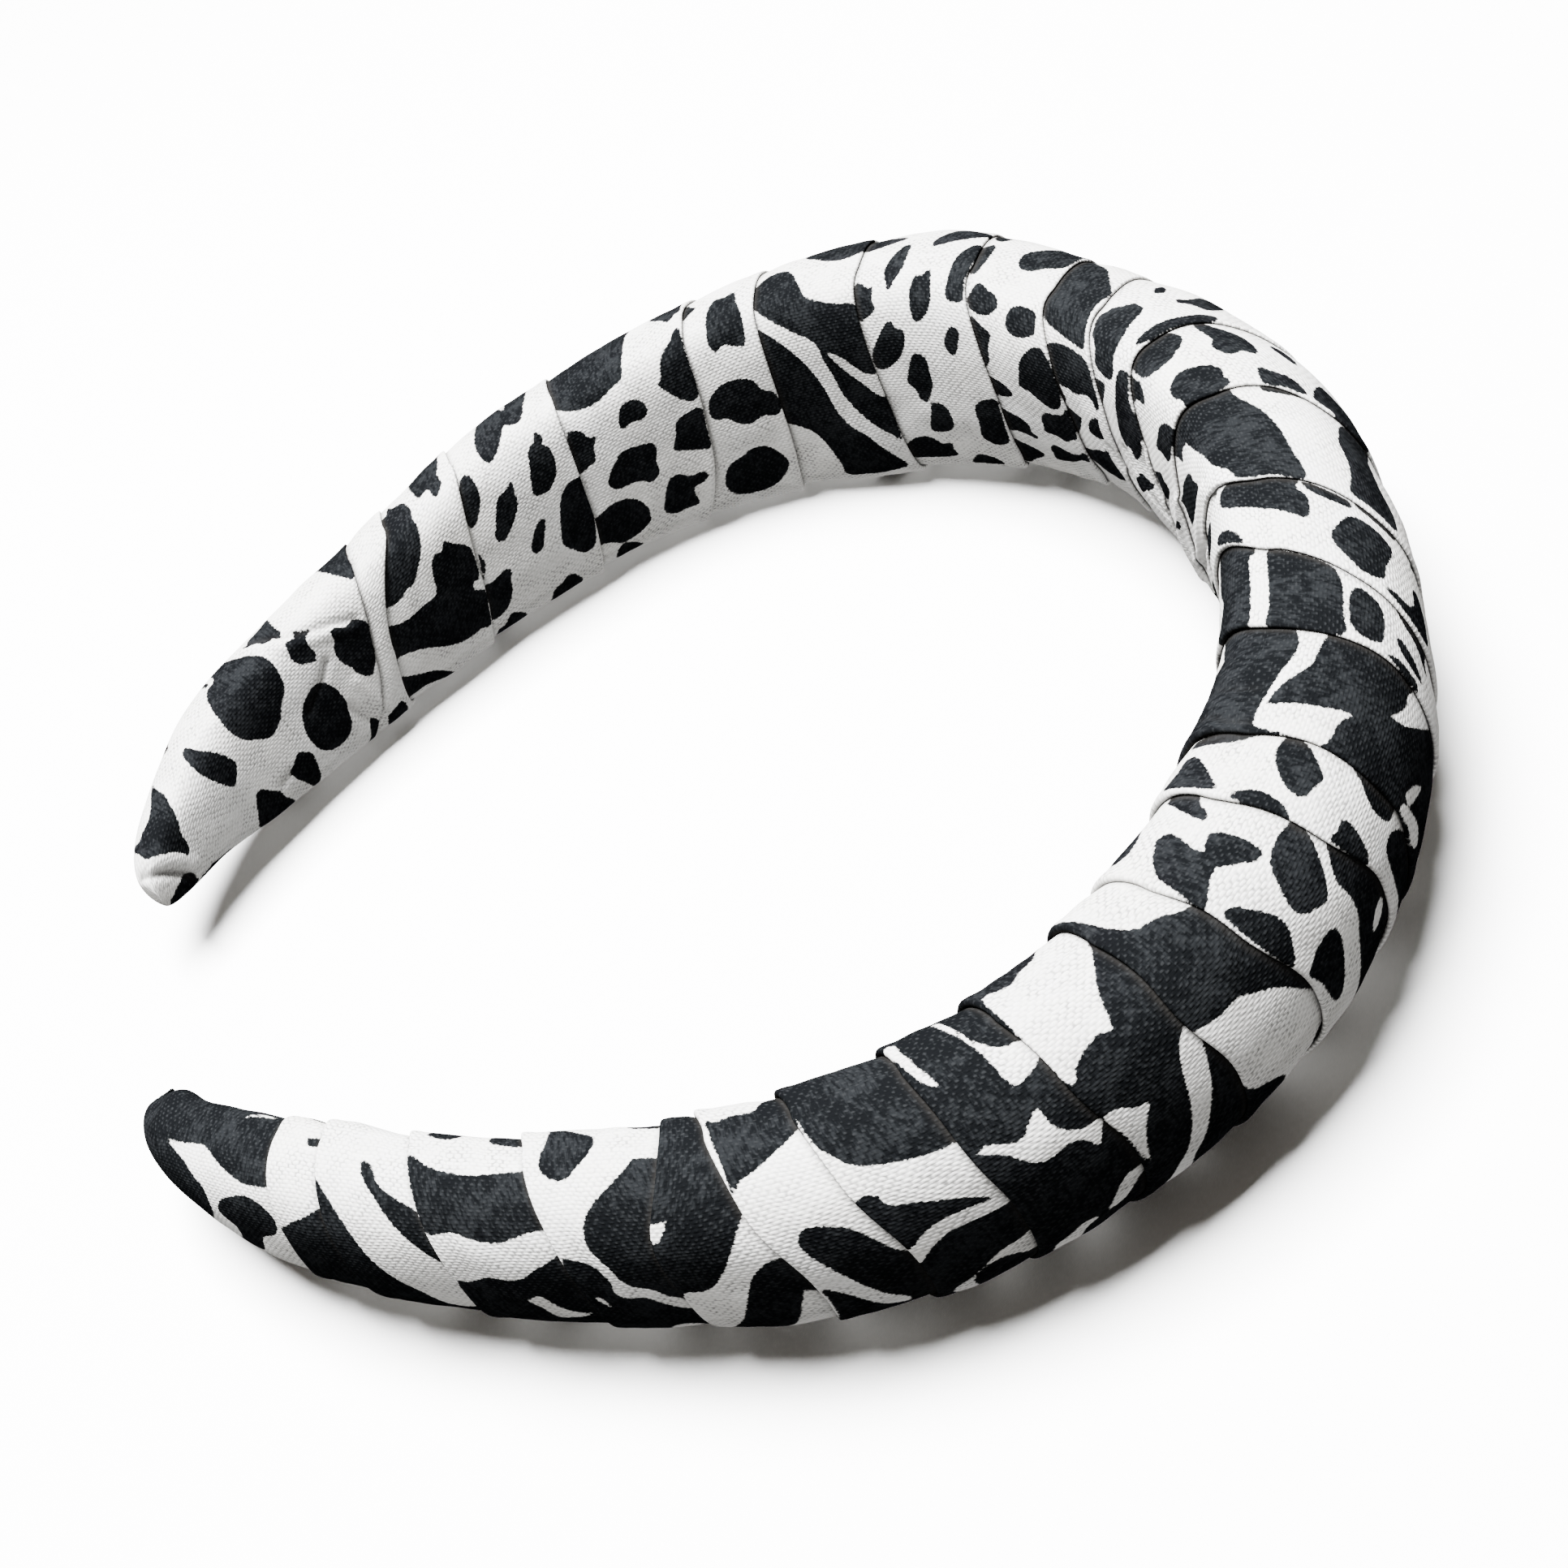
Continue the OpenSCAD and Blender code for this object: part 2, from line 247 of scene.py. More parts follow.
def hem(k, a):
    """Place along of hem k, a degrees round."""
    r = HEMS[k]
    o, i, low = r[OUT], r[IN], r[LOW]
    t = np.radians(a)
    lean = ((o + i + low) / 4 + (o - i) / 2 * np.cos(t) - low / 2 * np.sin(t)
            + (o + i - low) / 4 * np.cos(2 * t))
    turn = (np.asarray(a) - BELLY_AT + 180) % 360 - 180
    return HALF * r[AT] + CROWN_W * (lean + r[BELLY] * np.exp(-(turn / BELLY_SPREAD) ** 2))


def frame_home():
    """The offset that puts this script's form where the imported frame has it, from one turn's box."""
    k = 15
    a = np.arange(SOLID_SIDES) * 360 / SOLID_SIDES
    pts = np.concatenate([skin(hem(k, a), a, OVER_TOP, 0), skin(hem(k + 1, a), a, UNDER_TOP, 0)])
    low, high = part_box("wrap_turn_16")
    return (pts.min(0) + pts.max(0)) / 2 - (np.array(low) + np.array(high)) / 2 / MM


HOME = frame_home()

# Distance round the section from the top edge, plus over the outer face and minus over the inner face
A_STEP = 2.0
S_GRID = np.arange(-HALF, HALF + 0.1, 1.0)
A_GRID = np.arange(SEAM_AT, SEAM_AT + 361, A_STEP)


def round_table():
    p = skin(S_GRID[:, None], A_GRID[None], 0, HOME)
    seg = np.linalg.norm(np.diff(p, axis=1), axis=-1)
    run = np.concatenate([np.zeros((len(S_GRID), 1)), np.cumsum(seg, 1)], 1)
    top = run[:, int((90 - SEAM_AT) / A_STEP)]
    return top[:, None] - run, run[:, -1]


ROUND, GIRTH = round_table()


def round_at(s, a):
    """Distance round from the top edge at s mm along and a degrees round."""
    x = np.clip((s - S_GRID[0]), 0, len(S_GRID) - 1.001)
    y = np.clip((a - A_GRID[0]) / A_STEP, 0, len(A_GRID) - 1.001)
    i, j = x.astype(int), y.astype(int)
    f, g = x - i, y - j
    return ((1 - f) * (1 - g) * ROUND[i, j] + f * (1 - g) * ROUND[i + 1, j]
            + (1 - f) * g * ROUND[i, j + 1] + f * g * ROUND[i + 1, j + 1])


def even_angles(s_mid, step):
    """Angles from the seam once round, at even distances round the section at s_mid."""
    v = -round_at(np.full(len(A_GRID), s_mid), A_GRID)
    n = int(round((v[-1] - v[0]) / step / 2)) * 2
    return np.interp(np.linspace(v[0], v[-1], n + 1), v, A_GRID)


# ---- relief ----

LATTICE = 48
# Keeps every place in the lattice above zero
SHIFT = 500


def noise(p, size, seed):
    """Smooth noise from -1 to 1 at points p (n, 3) in mm, with bumps about size mm apart."""
    box = np.random.default_rng(seed).uniform(-1, 1, (LATTICE,) * 3)
    q = p / size + SHIFT
    i = np.floor(q).astype(int)
    f = q - i
    f = f * f * (3 - 2 * f)
    out = 0
    for dx in (0, 1):
        for dy in (0, 1):
            for dz in (0, 1):
                w = np.abs(1 - dx - f[..., 0]) * np.abs(1 - dy - f[..., 1]) * np.abs(1 - dz - f[..., 2])
                out = out + w * box[(i[..., 0] + dx) % LATTICE, (i[..., 1] + dy) % LATTICE,
                                    (i[..., 2] + dz) % LATTICE]
    return out


def strip_noise(x, v, lane, size, seed):
    """Noise on one turn's cloth, x mm from its hem and v mm round, apart from the noise of other lanes."""
    return noise(np.stack([x, v, np.full(x.shape, lane)], -1), size, seed)


# Folds drawn in the cloth: depth in mm, minus for a ridge, half width in mm, how dark the painted shade down
# in them is, and the places along and round the band that they pass through
FOLDS = [
    # gathers on the crown's inner face
    [0.5, 0.5, 0.25, [(-5, -6.7), (-5.7, -9), (-4, -14.5), (1, -22), (5.7, -29)]],
    [-0.4, 0.7, 0, [(-2.5, -8), (-1.5, -14), (3, -22), (8, -29)]],
    [0.5, 0.6, 0.3, [(12, -19), (14, -24), (14, -28.4), (12.3, -33.6)]],
    [-0.5, 0.8, 0, [(8, -18), (10, -25), (9.5, -33)]],
    [0.45, 0.5, 0.3, [(25.7, -20.3), (24.3, -23.5), (22.7, -25.6)]],
    [0.5, 0.6, 0.3, [(22, -18.6), (20.7, -21.3), (18.7, -24), (15.3, -26)]],
    [-0.4, 0.6, 0, [(20, -17), (19, -20), (17.5, -23)]],
    [0.45, 0.5, 0.3, [(17, -15.5), (17.3, -18.5), (16, -21), (14, -24.4)]],
    # creases along the strip beside the crown
    [0.3, 0.6, 0.1, [(-32.7, -9), (-34.3, -3.2), (-34, 0)]],
    [0.35, 0.6, 0.15, [(-37.3, -6.6), (-38.3, -1.9), (-38, 1.2)]],
    [0.35, 0.5, 0.15, [(-40.7, -4.3), (-40.3, -1.9), (-40, 0)]],
    # gathers on the top of the near shoulder
    [0.35, 0.9, 0, [(-57, 1), (-57, 4.4), (-56.7, 8.3), (-56.3, 12.5)]],
    [-0.3, 1.1, 0, [(-59, 2), (-58.7, 7), (-58.4, 12)]],
    [0.35, 0.9, 0, [(-61, 1), (-61, 3.7), (-60.3, 7.8), (-60, 12.3)]],
    # the near tip's lump and the notch beside it
    [-0.8, 3.2, 0, [(-181, -3), (-180.5, 2)]],
    [0.7, 1.5, 0, [(-187.4, -4), (-186.4, -0.5), (-184.4, 1.5)]],
    # the far tip's turned-in end and the creases of its cover
    [0.6, 0.45, 1, [(189.3, 1), (188.7, -1.4), (187, -4.4), (185.3, -7.8), (184.3, -10.4)]],
    [-0.35, 0.9, 0, [(187.3, 0), (185.7, -3.8), (184, -7), (183, -9.6)]],
    [0.5, 0.6, 0.35, [(151.8, -9), (153.7, -10.8), (155.3, -11.5), (157.5, -13)]],
    [0.4, 0.7, 0.35, [(166.5, -18), (164.7, -18)]],
    [0.35, 0.4, 0.3, [(158.3, 3.4), (154.3, -2.1), (150.7, -4.1), (148.3, -5.2), (145, -7.2)]],
    [-0.3, 0.8, 0, [(158.8, 1.8), (155, -3.3), (151, -5.5), (148.5, -6.6), (145.5, -8.5)]],
    [0.45, 0.8, 0.3, [(152.6, -17.5), (152, -20), (151.3, -22)]],
    [-0.35, 0.9, 0, [(149.8, -15), (149.3, -18.5), (148.8, -22)]],
]


def fold_lines(s, a):
    """The folds' relief and their painted shade at s mm along and a degrees round."""
    s, a = np.broadcast_arrays(s, a)
    v = round_at(s, a)
    relief, shade = np.zeros(s.shape), np.zeros(s.shape)
    for depth, half, dark, points in FOLDS:
        line = np.array(points, float)
        (s0, v0), (s1, v1) = line.min(0) - 3 * half, line.max(0) + 3 * half
        near = (s > s0) & (s < s1) & (v > v0) & (v < v1)
        if not near.any():
            continue
        q = np.stack([s[near], v[near]], -1)
        best = np.full(len(q), np.inf)
        for b, c in zip(line[:-1], line[1:]):
            e = c - b
            w = q - b
            f = np.clip((w @ e) / (e @ e), 0, 1)
            best = np.minimum(best, ((w - f[:, None] * e) ** 2).sum(1))
        relief[near] -= depth * np.exp(-best / half ** 2)
        # painted shade down in the fold
        shade[near] = np.maximum(shade[near], dark * np.exp(-best / FOLD_SHADE ** 2))
    return relief, shade


def bell(x, at, spread):
    """1 at one place, falling away on both sides."""
    return np.exp(-((x - at) / spread) ** 2)


def near_angle(a, at, spread):
    """The same for angles in degrees."""
    return bell((a - at + 180) % 360 - 180, 0, spread)


# Soft lumps of the pad: height in mm, size in mm, and seed
LUMPS = [[0.22, 9.0, 1], [0.1, 4.0, 2]]
# Forms pressed into the band, in mm and degrees: depth, place along and its spread, place round and its
# spread
PRESSED = [
    # the drawn-in lower inner edge beside the crown
    [1.8, 34, 15.0, 228, 34],
    # the near tip's rounded upper corner
    [1.3, -192, 6.0, 105, 50],
]


def shared_relief(s, a):
    """Soft lumps of the pad, forms pressed in and folds, the same for every layer."""
    p = skin(s, a, 0, HOME)
    lumps = sum(height * noise(p, size, seed) for height, size, seed in LUMPS)
    pressed = sum(depth * bell(s, at, spread) * near_angle(a, about, reach)
                  for depth, at, spread, about, reach in PRESSED)
    return lumps - pressed + fold_lines(s, a)[0]


def own_relief(k, x, v):
    """Fine creases of turn k's cloth, x mm from its hem, long round the section and short across the turn."""
    x, v = np.broadcast_arrays(x, v)
    lane = 40.0 * k
    return 0.055 * strip_noise(x, v * 0.16, lane, 1.9, 3) + 0.03 * strip_noise(x, v * 0.5, lane + 9, 1.3, 4)


def hem_stand(k, a):
    """Extra height of hem k, most at the inner top edge, then at the two lower edges."""
    edges = near_angle(a, 105, 42) + 0.9 * near_angle(a, 250, 40) + 0.6 * near_angle(a, -15, 35)
    return HEMS[k][STAND] * edges


def fade(x, reach):
    """1 at x = 0, falling to 0 at the reach."""
    return np.clip(1 - x / reach, 0, 1)


# ---- print ----

# How far from its edges the print is measured, in mm
PRINT_CLAMP = 2.0
# The print as seen on the band, drawn one by one: for each turn by number, and for the two tip covers, marks
# that are dark or pale, in the order they cover one another, as outlines in mm along the band and round it
SPOTS = {
    "near": [
        ["pale", [(-177, 3.5), (-173, 5), (-170.5, 6.8), (-168.9, 8), (-168.6, 10.5), (-169.3, 12.5),
          (-171.8, 15.3), (-174, 18), (-172, 21), (-160, 24), (-154, 24), (-154, 12), (-154.5, 5.6),
          (-157.3, 5.7), (-161.5, 5.8), (-165, 4.6), (-168, 3.2), (-170, 2.7), (-174.5, 3.3)]],
        ["dark", [(-167.3, 11), (-166, 9), (-163.5, 7.8), (-161, 7.2), (-158.6, 8), (-157.2, 9.8),
          (-157.5, 11.8), (-158.8, 13), (-160.5, 13.7), (-161.5, 15), (-162.5, 17), (-164, 18), (-166.5, 17),
          (-165.8, 15.5), (-165.3, 13.5), (-166.5, 12.3)]],
        ["pale", [(-165, -1.5), (-164, -2), (-160.5, -2.8), (-162, -3), (-164.5, -2.2)]],
    ],
    1: [
        ["dark", [(-157.6, -4.2), (-155, -3.4), (-152, -3.7), (-150.5, -6), (-157, -6.5)]],
        ["dark", [(-158.5, 21), (-157, 14), (-156.4, 11), (-155, 10), (-152.5, 8.6), (-147.5, 8),
          (-147, 26), (-158, 26)]],
        ["pale", [(-155.8, 23), (-154, 21.5), (-152, 22.5), (-150.5, 24), (-151, 26), (-156, 25)]],
        ["dark", [(-153.4, -0.2), (-153, 0.4), (-151.6, 0.2), (-151.6, -0.8), (-152.3, -0.6)]],
    ],
    2: [
        ["dark", [(-150.3, 3.7), (-149, 5), (-147.5, 6.8), (-146.3, 8.6), (-145.2, 10.8), (-144.2, 13.2),
          (-142.8, 15.8), (-141, 18.5), (-139.7, 20.8), (-138, 22.5), (-135.5, 22.5), (-134.5, 22),
          (-134, 29), (-149, 27), (-149, 15), (-149.5, 8), (-150.5, 5)]],
        ["dark", [(-145, 1.6), (-144.3, 3), (-142.5, 5), (-140.5, 7.6), (-138.5, 10), (-136.5, 12.2),
          (-134.6, 13.7), (-134.8, 10.5), (-135.9, 7), (-137.4, 6), (-140, 4.8), (-142.3, 3.4),
          (-143.3, 1.9), (-144.5, 1.2)]],
    ],
    3: [
        ["dark", [(-138.4, -3), (-136.6, -2.2), (-134.6, -2.5), (-133.8, -5), (-137, -6)]],
        ["dark", [(-130.6, -2.6), (-128, -1.8), (-125.4, -2.2), (-124, -5), (-129.5, -5.5)]],
        ["dark", [(-139.3, 0.2), (-138.5, 2.3), (-137.4, 5), (-136.3, 8.3), (-135, 8.5), (-133, 8.1),
          (-130.5, 8.9), (-128, 9.2), (-126, 8.6), (-123.5, 7.9), (-121, 7.6), (-121.6, 6), (-123.2, 3),
          (-124.5, 1.3), (-128, 1.6), (-131.5, 1.9), (-135, 1.6), (-136.8, 1.1), (-138, 0.5)]],
        ["dark", [(-135, 16.2), (-133.5, 15.5), (-132, 14.7), (-130.5, 14.1), (-129, 14.4), (-127, 14.2),
          (-125.5, 13.2), (-124, 12.3), (-120, 11.7), (-119, 28), (-135, 28)]],
        ["pale", [(-127.7, 18.5), (-126.8, 20), (-126.3, 23.4), (-124, 23.3), (-122, 22.2), (-123, 22),
          (-124.5, 21), (-125.2, 19.5), (-126, 17.4), (-127, 17.8)]],
    ],
    4: [
        ["dark", [(-114.4, -3.8), (-112, -3.1), (-109.6, -3.3), (-108, -6), (-113, -6.5)]],
        ["dark", [(-123.3, 0.5), (-122.8, 1.8), (-121.5, 2.7), (-119.8, 2.7), (-119, 1.7), (-117.8, 0.2),
          (-117.3, -1.2), (-117.8, -2.3), (-120, -3), (-122, -4), (-124, -4.5), (-123.2, -3), (-123, -1.5)]],
        ["dark", [(-118.3, 9), (-117.8, 10.8), (-116.8, 12.5), (-116.2, 14.5), (-115.3, 16), (-113.5, 17),
          (-112, 19), (-109, 20.8), (-107.5, 20), (-107, 1), (-109.5, 1), (-111.5, 0.9), (-112.7, 1),
          (-113.5, 2.2), (-115, 3.6), (-116.8, 5.2), (-118, 7)]],
        ["dark", [(-121.5, 11.8), (-120, 11.6), (-119, 11.9), (-117.8, 13), (-117.2, 15), (-117.4, 17),
          (-116.3, 18), (-114.6, 18.3), (-113, 20.3), (-111.5, 21.8), (-109, 22.7), (-108, 29), (-121, 29),
          (-121.8, 20)]],
        ["pale", [(-119.9, 18), (-119.3, 19.3), (-118.9, 20), (-119.3, 17.8)]],
        ["pale", [(-115.5, 29), (-114.5, 27.2), (-113, 27), (-112, 29)]],
    ],
    5: [
        ["pale", [(-110.5, 31), (-108.9, 29), (-107.5, 26.5), (-106, 24), (-104.5, 19.8), (-103.2, 16.5),
          (-101.5, 14.6), (-99, 13.8), (-100.5, 8), (-102, 8.6), (-103, 10.5), (-104, 12.5), (-105.3, 15),
          (-107, 17.1), (-108.5, 17.9), (-110.6, 18.7)]],
        ["pale", [(-111.7, 8), (-111, 10.2), (-110.2, 9.6), (-109.2, 7.8), (-110.3, 8.1)]],
        ["pale", [(-103.5, 31), (-102.5, 28.5), (-101, 24.5), (-99.6, 20.4), (-98.4, 23), (-97.9, 27),
          (-98.1, 31)]],
    ],
    6: [
        ["dark", [(-104.9, -2), (-104.2, 0), (-103, 3.5), (-102.4, 6.4), (-101.5, 5.2), (-99.8, 4.4),
          (-97.6, 2.9), (-95.2, 0.7), (-95.7, -2), (-97.5, -4.6), (-99, -3.8), (-99.8, -2.2), (-102, -2),
          (-104, -1.4)]],
        ["dark", [(-98.3, 13.5), (-98, 12), (-97.2, 11.4), (-95.5, 12), (-93.8, 13.3), (-92.6, 15.3),
          (-91.3, 18), (-89.4, 21), (-88.4, 32), (-93, 32), (-92.4, 27.6), (-93.8, 24.5), (-95.5, 20.5),
          (-96.8, 17.3), (-97.8, 15)]],
        ["dark", [(-98.3, 20.3), (-97, 21.8), (-95.5, 24.5), (-94, 27.3), (-93, 29), (-93, 32), (-99, 32),
          (-98.4, 27), (-98.2, 23)]],
    ],
    7: [
        ["pale", [(-95.6, 0.8), (-94.5, 3.8), (-93.2, 5.5), (-92, 6.8), (-90, 7.7), (-87.5, 8.4),
          (-85.5, 8.8), (-82.5, 9.2), (-82, 12), (-81.2, 15.5), (-81, 18), (-83.5, 18.3), (-86.5, 18),
          (-88, 18.6), (-89.3, 19.8), (-90.3, 21), (-91, 18.6), (-90, 18), (-88.8, 16.8), (-87, 16.1),
          (-84.8, 16.3), (-83, 16.6), (-84.2, 15.2), (-86.5, 13.8), (-88.5, 12.7), (-90.3, 12),
          (-90.9, 10.6), (-91.8, 10), (-93.2, 9.7)]],
        ["pale", [(-88.9, 31.5), (-88.8, 29), (-87.5, 28), (-86, 26.5), (-84.3, 25.1), (-82.5, 24.9),
          (-80.7, 24.5), (-80.3, 28.5), (-82.2, 28.8), (-83.2, 27.5), (-84.2, 26.6), (-85.5, 26.5),
          (-86.5, 27.3), (-87.2, 29), (-87.2, 32)]],
    ],
    8: [
        ["pale", [(-86, -3), (-85, -0.5), (-83.9, 2.2), (-82.9, 3.2), (-82.8, 2.9), (-83.8, 0.2),
          (-84.5, -1.8), (-84.8, -3.2)]],
        ["pale", [(-82.6, 11), (-82, 11.3), (-80.5, 12.5), (-79.3, 14.3), (-78, 15.4), (-76, 15.2),
          (-74.8, 16), (-73.9, 17.8), (-73.2, 16.2), (-72.8, 15), (-74.5, 14.8), (-75.8, 13.5), (-76.5, 12),
          (-76.8, 10), (-77.8, 10.8), (-78.8, 11.8), (-80, 11.6), (-81.5, 10.6)]],
        ["pale", [(-77.6, 6), (-77, 7), (-74.4, 5.9), (-74.5, 3.6), (-76.5, 3), (-77.8, 1.6),
          (-78.8, -0.4), (-79.6, -2.6), (-80.4, -4), (-80.6, -3.4), (-79.6, -1.2), (-78.6, 1), (-78, 3.5)]],
        ["pale", [(-80.3, 33.5), (-80.2, 30), (-79, 29), (-77.5, 28), (-76.2, 29.2), (-77.5, 30.3),
          (-78.3, 33.5)]],
        ["pale", [(-75.2, 29.5), (-73.7, 29.8), (-72.5, 27.5), (-71.3, 25.8), (-71.5, 25), (-73, 24.8),
          (-74, 26), (-74.8, 28)]],
    ],
    9: [
        ["pale", [(-75.3, -2.5), (-75, 1), (-74.6, 5), (-73.8, 9.5), (-73.2, 10), (-72.5, 8.8), (-71, 8),
          (-69.5, 7.7), (-68.5, 8.2), (-68, 6.5), (-67, 3.8), (-65.6, 1.5), (-64.4, -1), (-64, -3.5),
          (-64.4, -6), (-67.5, -5.5), (-69, -3.6), (-71, -3), (-72.5, -2.2)]],
        ["pale", [(-72.8, 15.3), (-71.9, 19), (-71.2, 24.5), (-70.7, 21), (-70, 18.5), (-69.2, 16.9),
          (-70.3, 16.5), (-71.3, 15.3), (-72.2, 14.9)]],
        ["pale", [(-69.9, 34), (-69.5, 32), (-68.8, 29.5), (-68, 27.5), (-67.2, 25), (-66.5, 21.5),
          (-66, 18), (-65.5, 15.5), (-64.7, 13.8), (-63.5, 13), (-63.2, 15), (-63.7, 18), (-64.4, 21.5),
          (-65.4, 25), (-66.4, 28), (-67.4, 30.5), (-67.7, 34)]],
    ],
    10: [
        ["pale", [(-64.7, -4), (-63.5, -1.5), (-62.5, 0.8), (-61.3, 2.4), (-59.5, 3.5), (-58, 4.5),
          (-55.9, 4.9), (-56.2, 2), (-56.6, 0), (-56.9, -2.5), (-57.7, -7), (-64, -7), (-65, -5)]],
        ["pale", [(-63.8, 14.5), (-63, 18.5), (-62.5, 22.5), (-62, 25.5), (-61, 27.5), (-59.5, 29),
          (-58.3, 30.5), (-57.5, 33), (-57.2, 36.5), (-54, 36.5), (-54, 33), (-53.2, 31), (-52.1, 30),
          (-52.2, 26), (-52.9, 24.5), (-54.9, 20.5), (-56.4, 18), (-58.2, 16.2), (-59.3, 15.1), (-61.5, 15),
          (-63, 14.4)]],
    ],
    11: [
        ["dark", [(-56.5, 6.5), (-55.3, 6), (-54, 5.2), (-52.9, 4.8), (-52.3, 3.5), (-52.2, 1.5),
          (-51.8, 0), (-51.8, -1.3), (-52.8, -2), (-54.2, -1.4), (-55.5, -0.2), (-56.3, 0.7), (-56.5, 3)]],
        ["dark", [(-52.8, 4.8), (-51.5, 6.5), (-50.3, 7.8), (-49.3, 7.6), (-49.3, 5), (-49.8, 2.8),
          (-50.5, 2.2), (-51.8, 2.7), (-52.3, 3.3)]],
        ["dark", [(-55.8, 8.3), (-54.5, 8.6), (-54, 9.8), (-53, 12), (-52.6, 14), (-53.2, 16.5),
          (-54.2, 18.3), (-55, 15.5), (-55.6, 12)]],
        ["dark", [(-51.5, 13.5), (-51, 15.2), (-49.8, 16), (-48.7, 16.6), (-47.5, 15), (-46.5, 13),
          (-45.6, 11), (-45.2, 9), (-46.7, 8.3), (-48.2, 8.3), (-49.8, 9), (-50.9, 10.8)]],
        ["dark", [(-53.3, 21), (-52.6, 23.5), (-52, 27.5), (-51, 29), (-50.3, 27.5), (-49.6, 24),
          (-49.2, 21), (-49.8, 19.2), (-51.3, 19.2), (-52.5, 20)]],
        ["dark", [(-48.7, 36), (-48.3, 31), (-47.6, 26), (-46.7, 22), (-46.7, 19), (-47, 16.7),
          (-46.2, 14.6), (-44.6, 13.2), (-43, 17.5), (-42.4, 21), (-42, 26), (-42, 36)]],
        ["pale", [(-45.4, 27.8), (-44, 28), (-43, 26.8), (-43.4, 25.6), (-44.6, 26)]],
        ["dark", [(-49.3, 0.8), (-48.7, 0.9), (-47.8, -0.2), (-46.4, -1.9), (-47, -4), (-48.2, -4.7),
          (-48.8, -3.3), (-49.2, -1.5)]],
        ["dark", [(-56.6, -4.6), (-55, -4), (-53.2, -4.4), (-51.8, -5.8), (-52, -8), (-55, -8),
          (-56.5, -6)]],
    ],
    12: [
        ["dark", [(-46.4, 8.3), (-45.5, 8.2), (-44.8, 6.8), (-44.6, 4.5), (-45.2, 2.8), (-46.2, 1.8),
          (-46.4, 4)]],
        ["dark", [(-46.7, -1.8), (-46.2, 0.2), (-45.3, 0), (-44, -1.8), (-42.8, -3.6), (-43.2, -4.8),
          (-45, -4.8), (-47.3, -5.2)]],
        ["dark", [(-45, 13.3), (-43.9, 19), (-43.2, 19), (-42.8, 17.5), (-42.5, 15), (-42.9, 13.2),
          (-43.8, 13.5)]],
        ["dark", [(-43.6, 7.5), (-43.3, 8.7), (-42, 9.2), (-41, 9.6), (-40, 8.6), (-38.7, 7), (-38.2, 5.6),
          (-38.5, 4.4), (-40.3, 4), (-41.8, 4.7), (-43, 6)]],
        ["dark", [(-41.2, 29), (-41.3, 25), (-41.2, 22), (-40.6, 20.9), (-39.5, 21), (-38, 23),
          (-37.1, 26), (-36.8, 30), (-36.4, 34), (-41, 34)]],
        ["dark", [(-39.9, 17), (-39.2, 19.7), (-37.2, 20.2), (-37, 16), (-38, 12), (-38.8, 13.8),
          (-39.5, 15)]],
        ["dark", [(-40.2, -1), (-39.2, 1.4), (-38.3, 1.8), (-38.5, 0), (-39.3, -3), (-40.7, -5.5),
          (-41.5, -4.8)]],
    ],
    13: [
        ["pale", [(-38.4, 8), (-38.6, 4), (-38.4, 1), (-36.5, 0.8), (-33, 1.5), (-31, 2.2), (-28.5, 2.9),
          (-25.8, 2.4), (-25.8, 5.7), (-28, 5.1), (-30.5, 4.6), (-32, 3.4), (-33.6, 2.2), (-35.8, 1.5),
          (-35.3, 3.8), (-34.8, 6.5), (-34.1, 9.9), (-35.3, 8.9)]],
        ["pale", [(-31.7, 14.5), (-31.2, 17), (-29.8, 19.8), (-28, 23), (-26.3, 25.5), (-26, 22),
          (-26.1, 18.5), (-27.3, 18.2), (-27.8, 17.2), (-29.5, 16.8), (-31, 15.4)]],
        ["pale", [(-37.4, 27), (-36, 29), (-35.2, 27), (-36, 23.5), (-36.8, 20.8), (-37.5, 21),
          (-37.3, 24)]],
        ["pale", [(-36, 22.5), (-34.2, 24.2), (-32.8, 25), (-34, 22.5), (-35.8, 20.8)]],
        ["pale", [(-29.3, -6.3), (-27.5, -7), (-24.5, -8.5), (-24.5, -10.5), (-28, -9.5), (-29.5, -8)]],
    ],
    14: [
        ["dark", [(-26.5, 7.3), (-24, 7), (-21, 6.9), (-19.5, 6.4), (-18.4, 5.3), (-17, 1.5),
          (-16.4, -1.1), (-18.5, -1), (-21, -0.7), (-24, -0.5), (-26.6, -0.4), (-26.9, 3)]],
        ["dark", [(-26.8, -2.9), (-23, -2.7), (-19.5, -2.9), (-17, -3.1), (-16.2, -2.4), (-14.4, -3.9),
          (-12.4, -6.6), (-10.9, -9.8), (-13.5, -10.5), (-16, -10), (-18.5, -9), (-20, -8), (-22, -8.5),
          (-25.5, -8.5), (-27, -6)]],
        ["dark", [(-26, 10.5), (-25.4, 11.8), (-23.5, 12), (-21.8, 11.6), (-21, 10.4), (-20.5, 9),
          (-21.1, 7.9), (-23, 7.5), (-25, 7.8), (-25.9, 8.9)]],
        ["dark", [(-27, 18.3), (-26.1, 18.2), (-26, 14), (-26.6, 12.7)]],
        ["dark", [(-25.4, 19.8), (-24.6, 18.8), (-23.6, 15), (-24, 13.9), (-25, 15), (-25.4, 17.5)]],
        ["dark", [(-23.8, 21.4), (-22.5, 21), (-20.7, 21.8), (-20.4, 18), (-20, 14), (-21.5, 15.5),
          (-22.3, 18.3)]],
    ],
    15: [
        ["dark", [(-20.8, 21), (-19, 21), (-17.5, 20), (-16.5, 18.6), (-17, 17.3), (-18.7, 17.2),
          (-19.3, 15.5), (-19.2, 12), (-20, 13), (-20.7, 17)]],
        ["dark", [(-18.9, 10.5), (-18.5, 12), (-17, 12.4), (-15.8, 13.3), (-14.3, 14), (-13.2, 12.5),
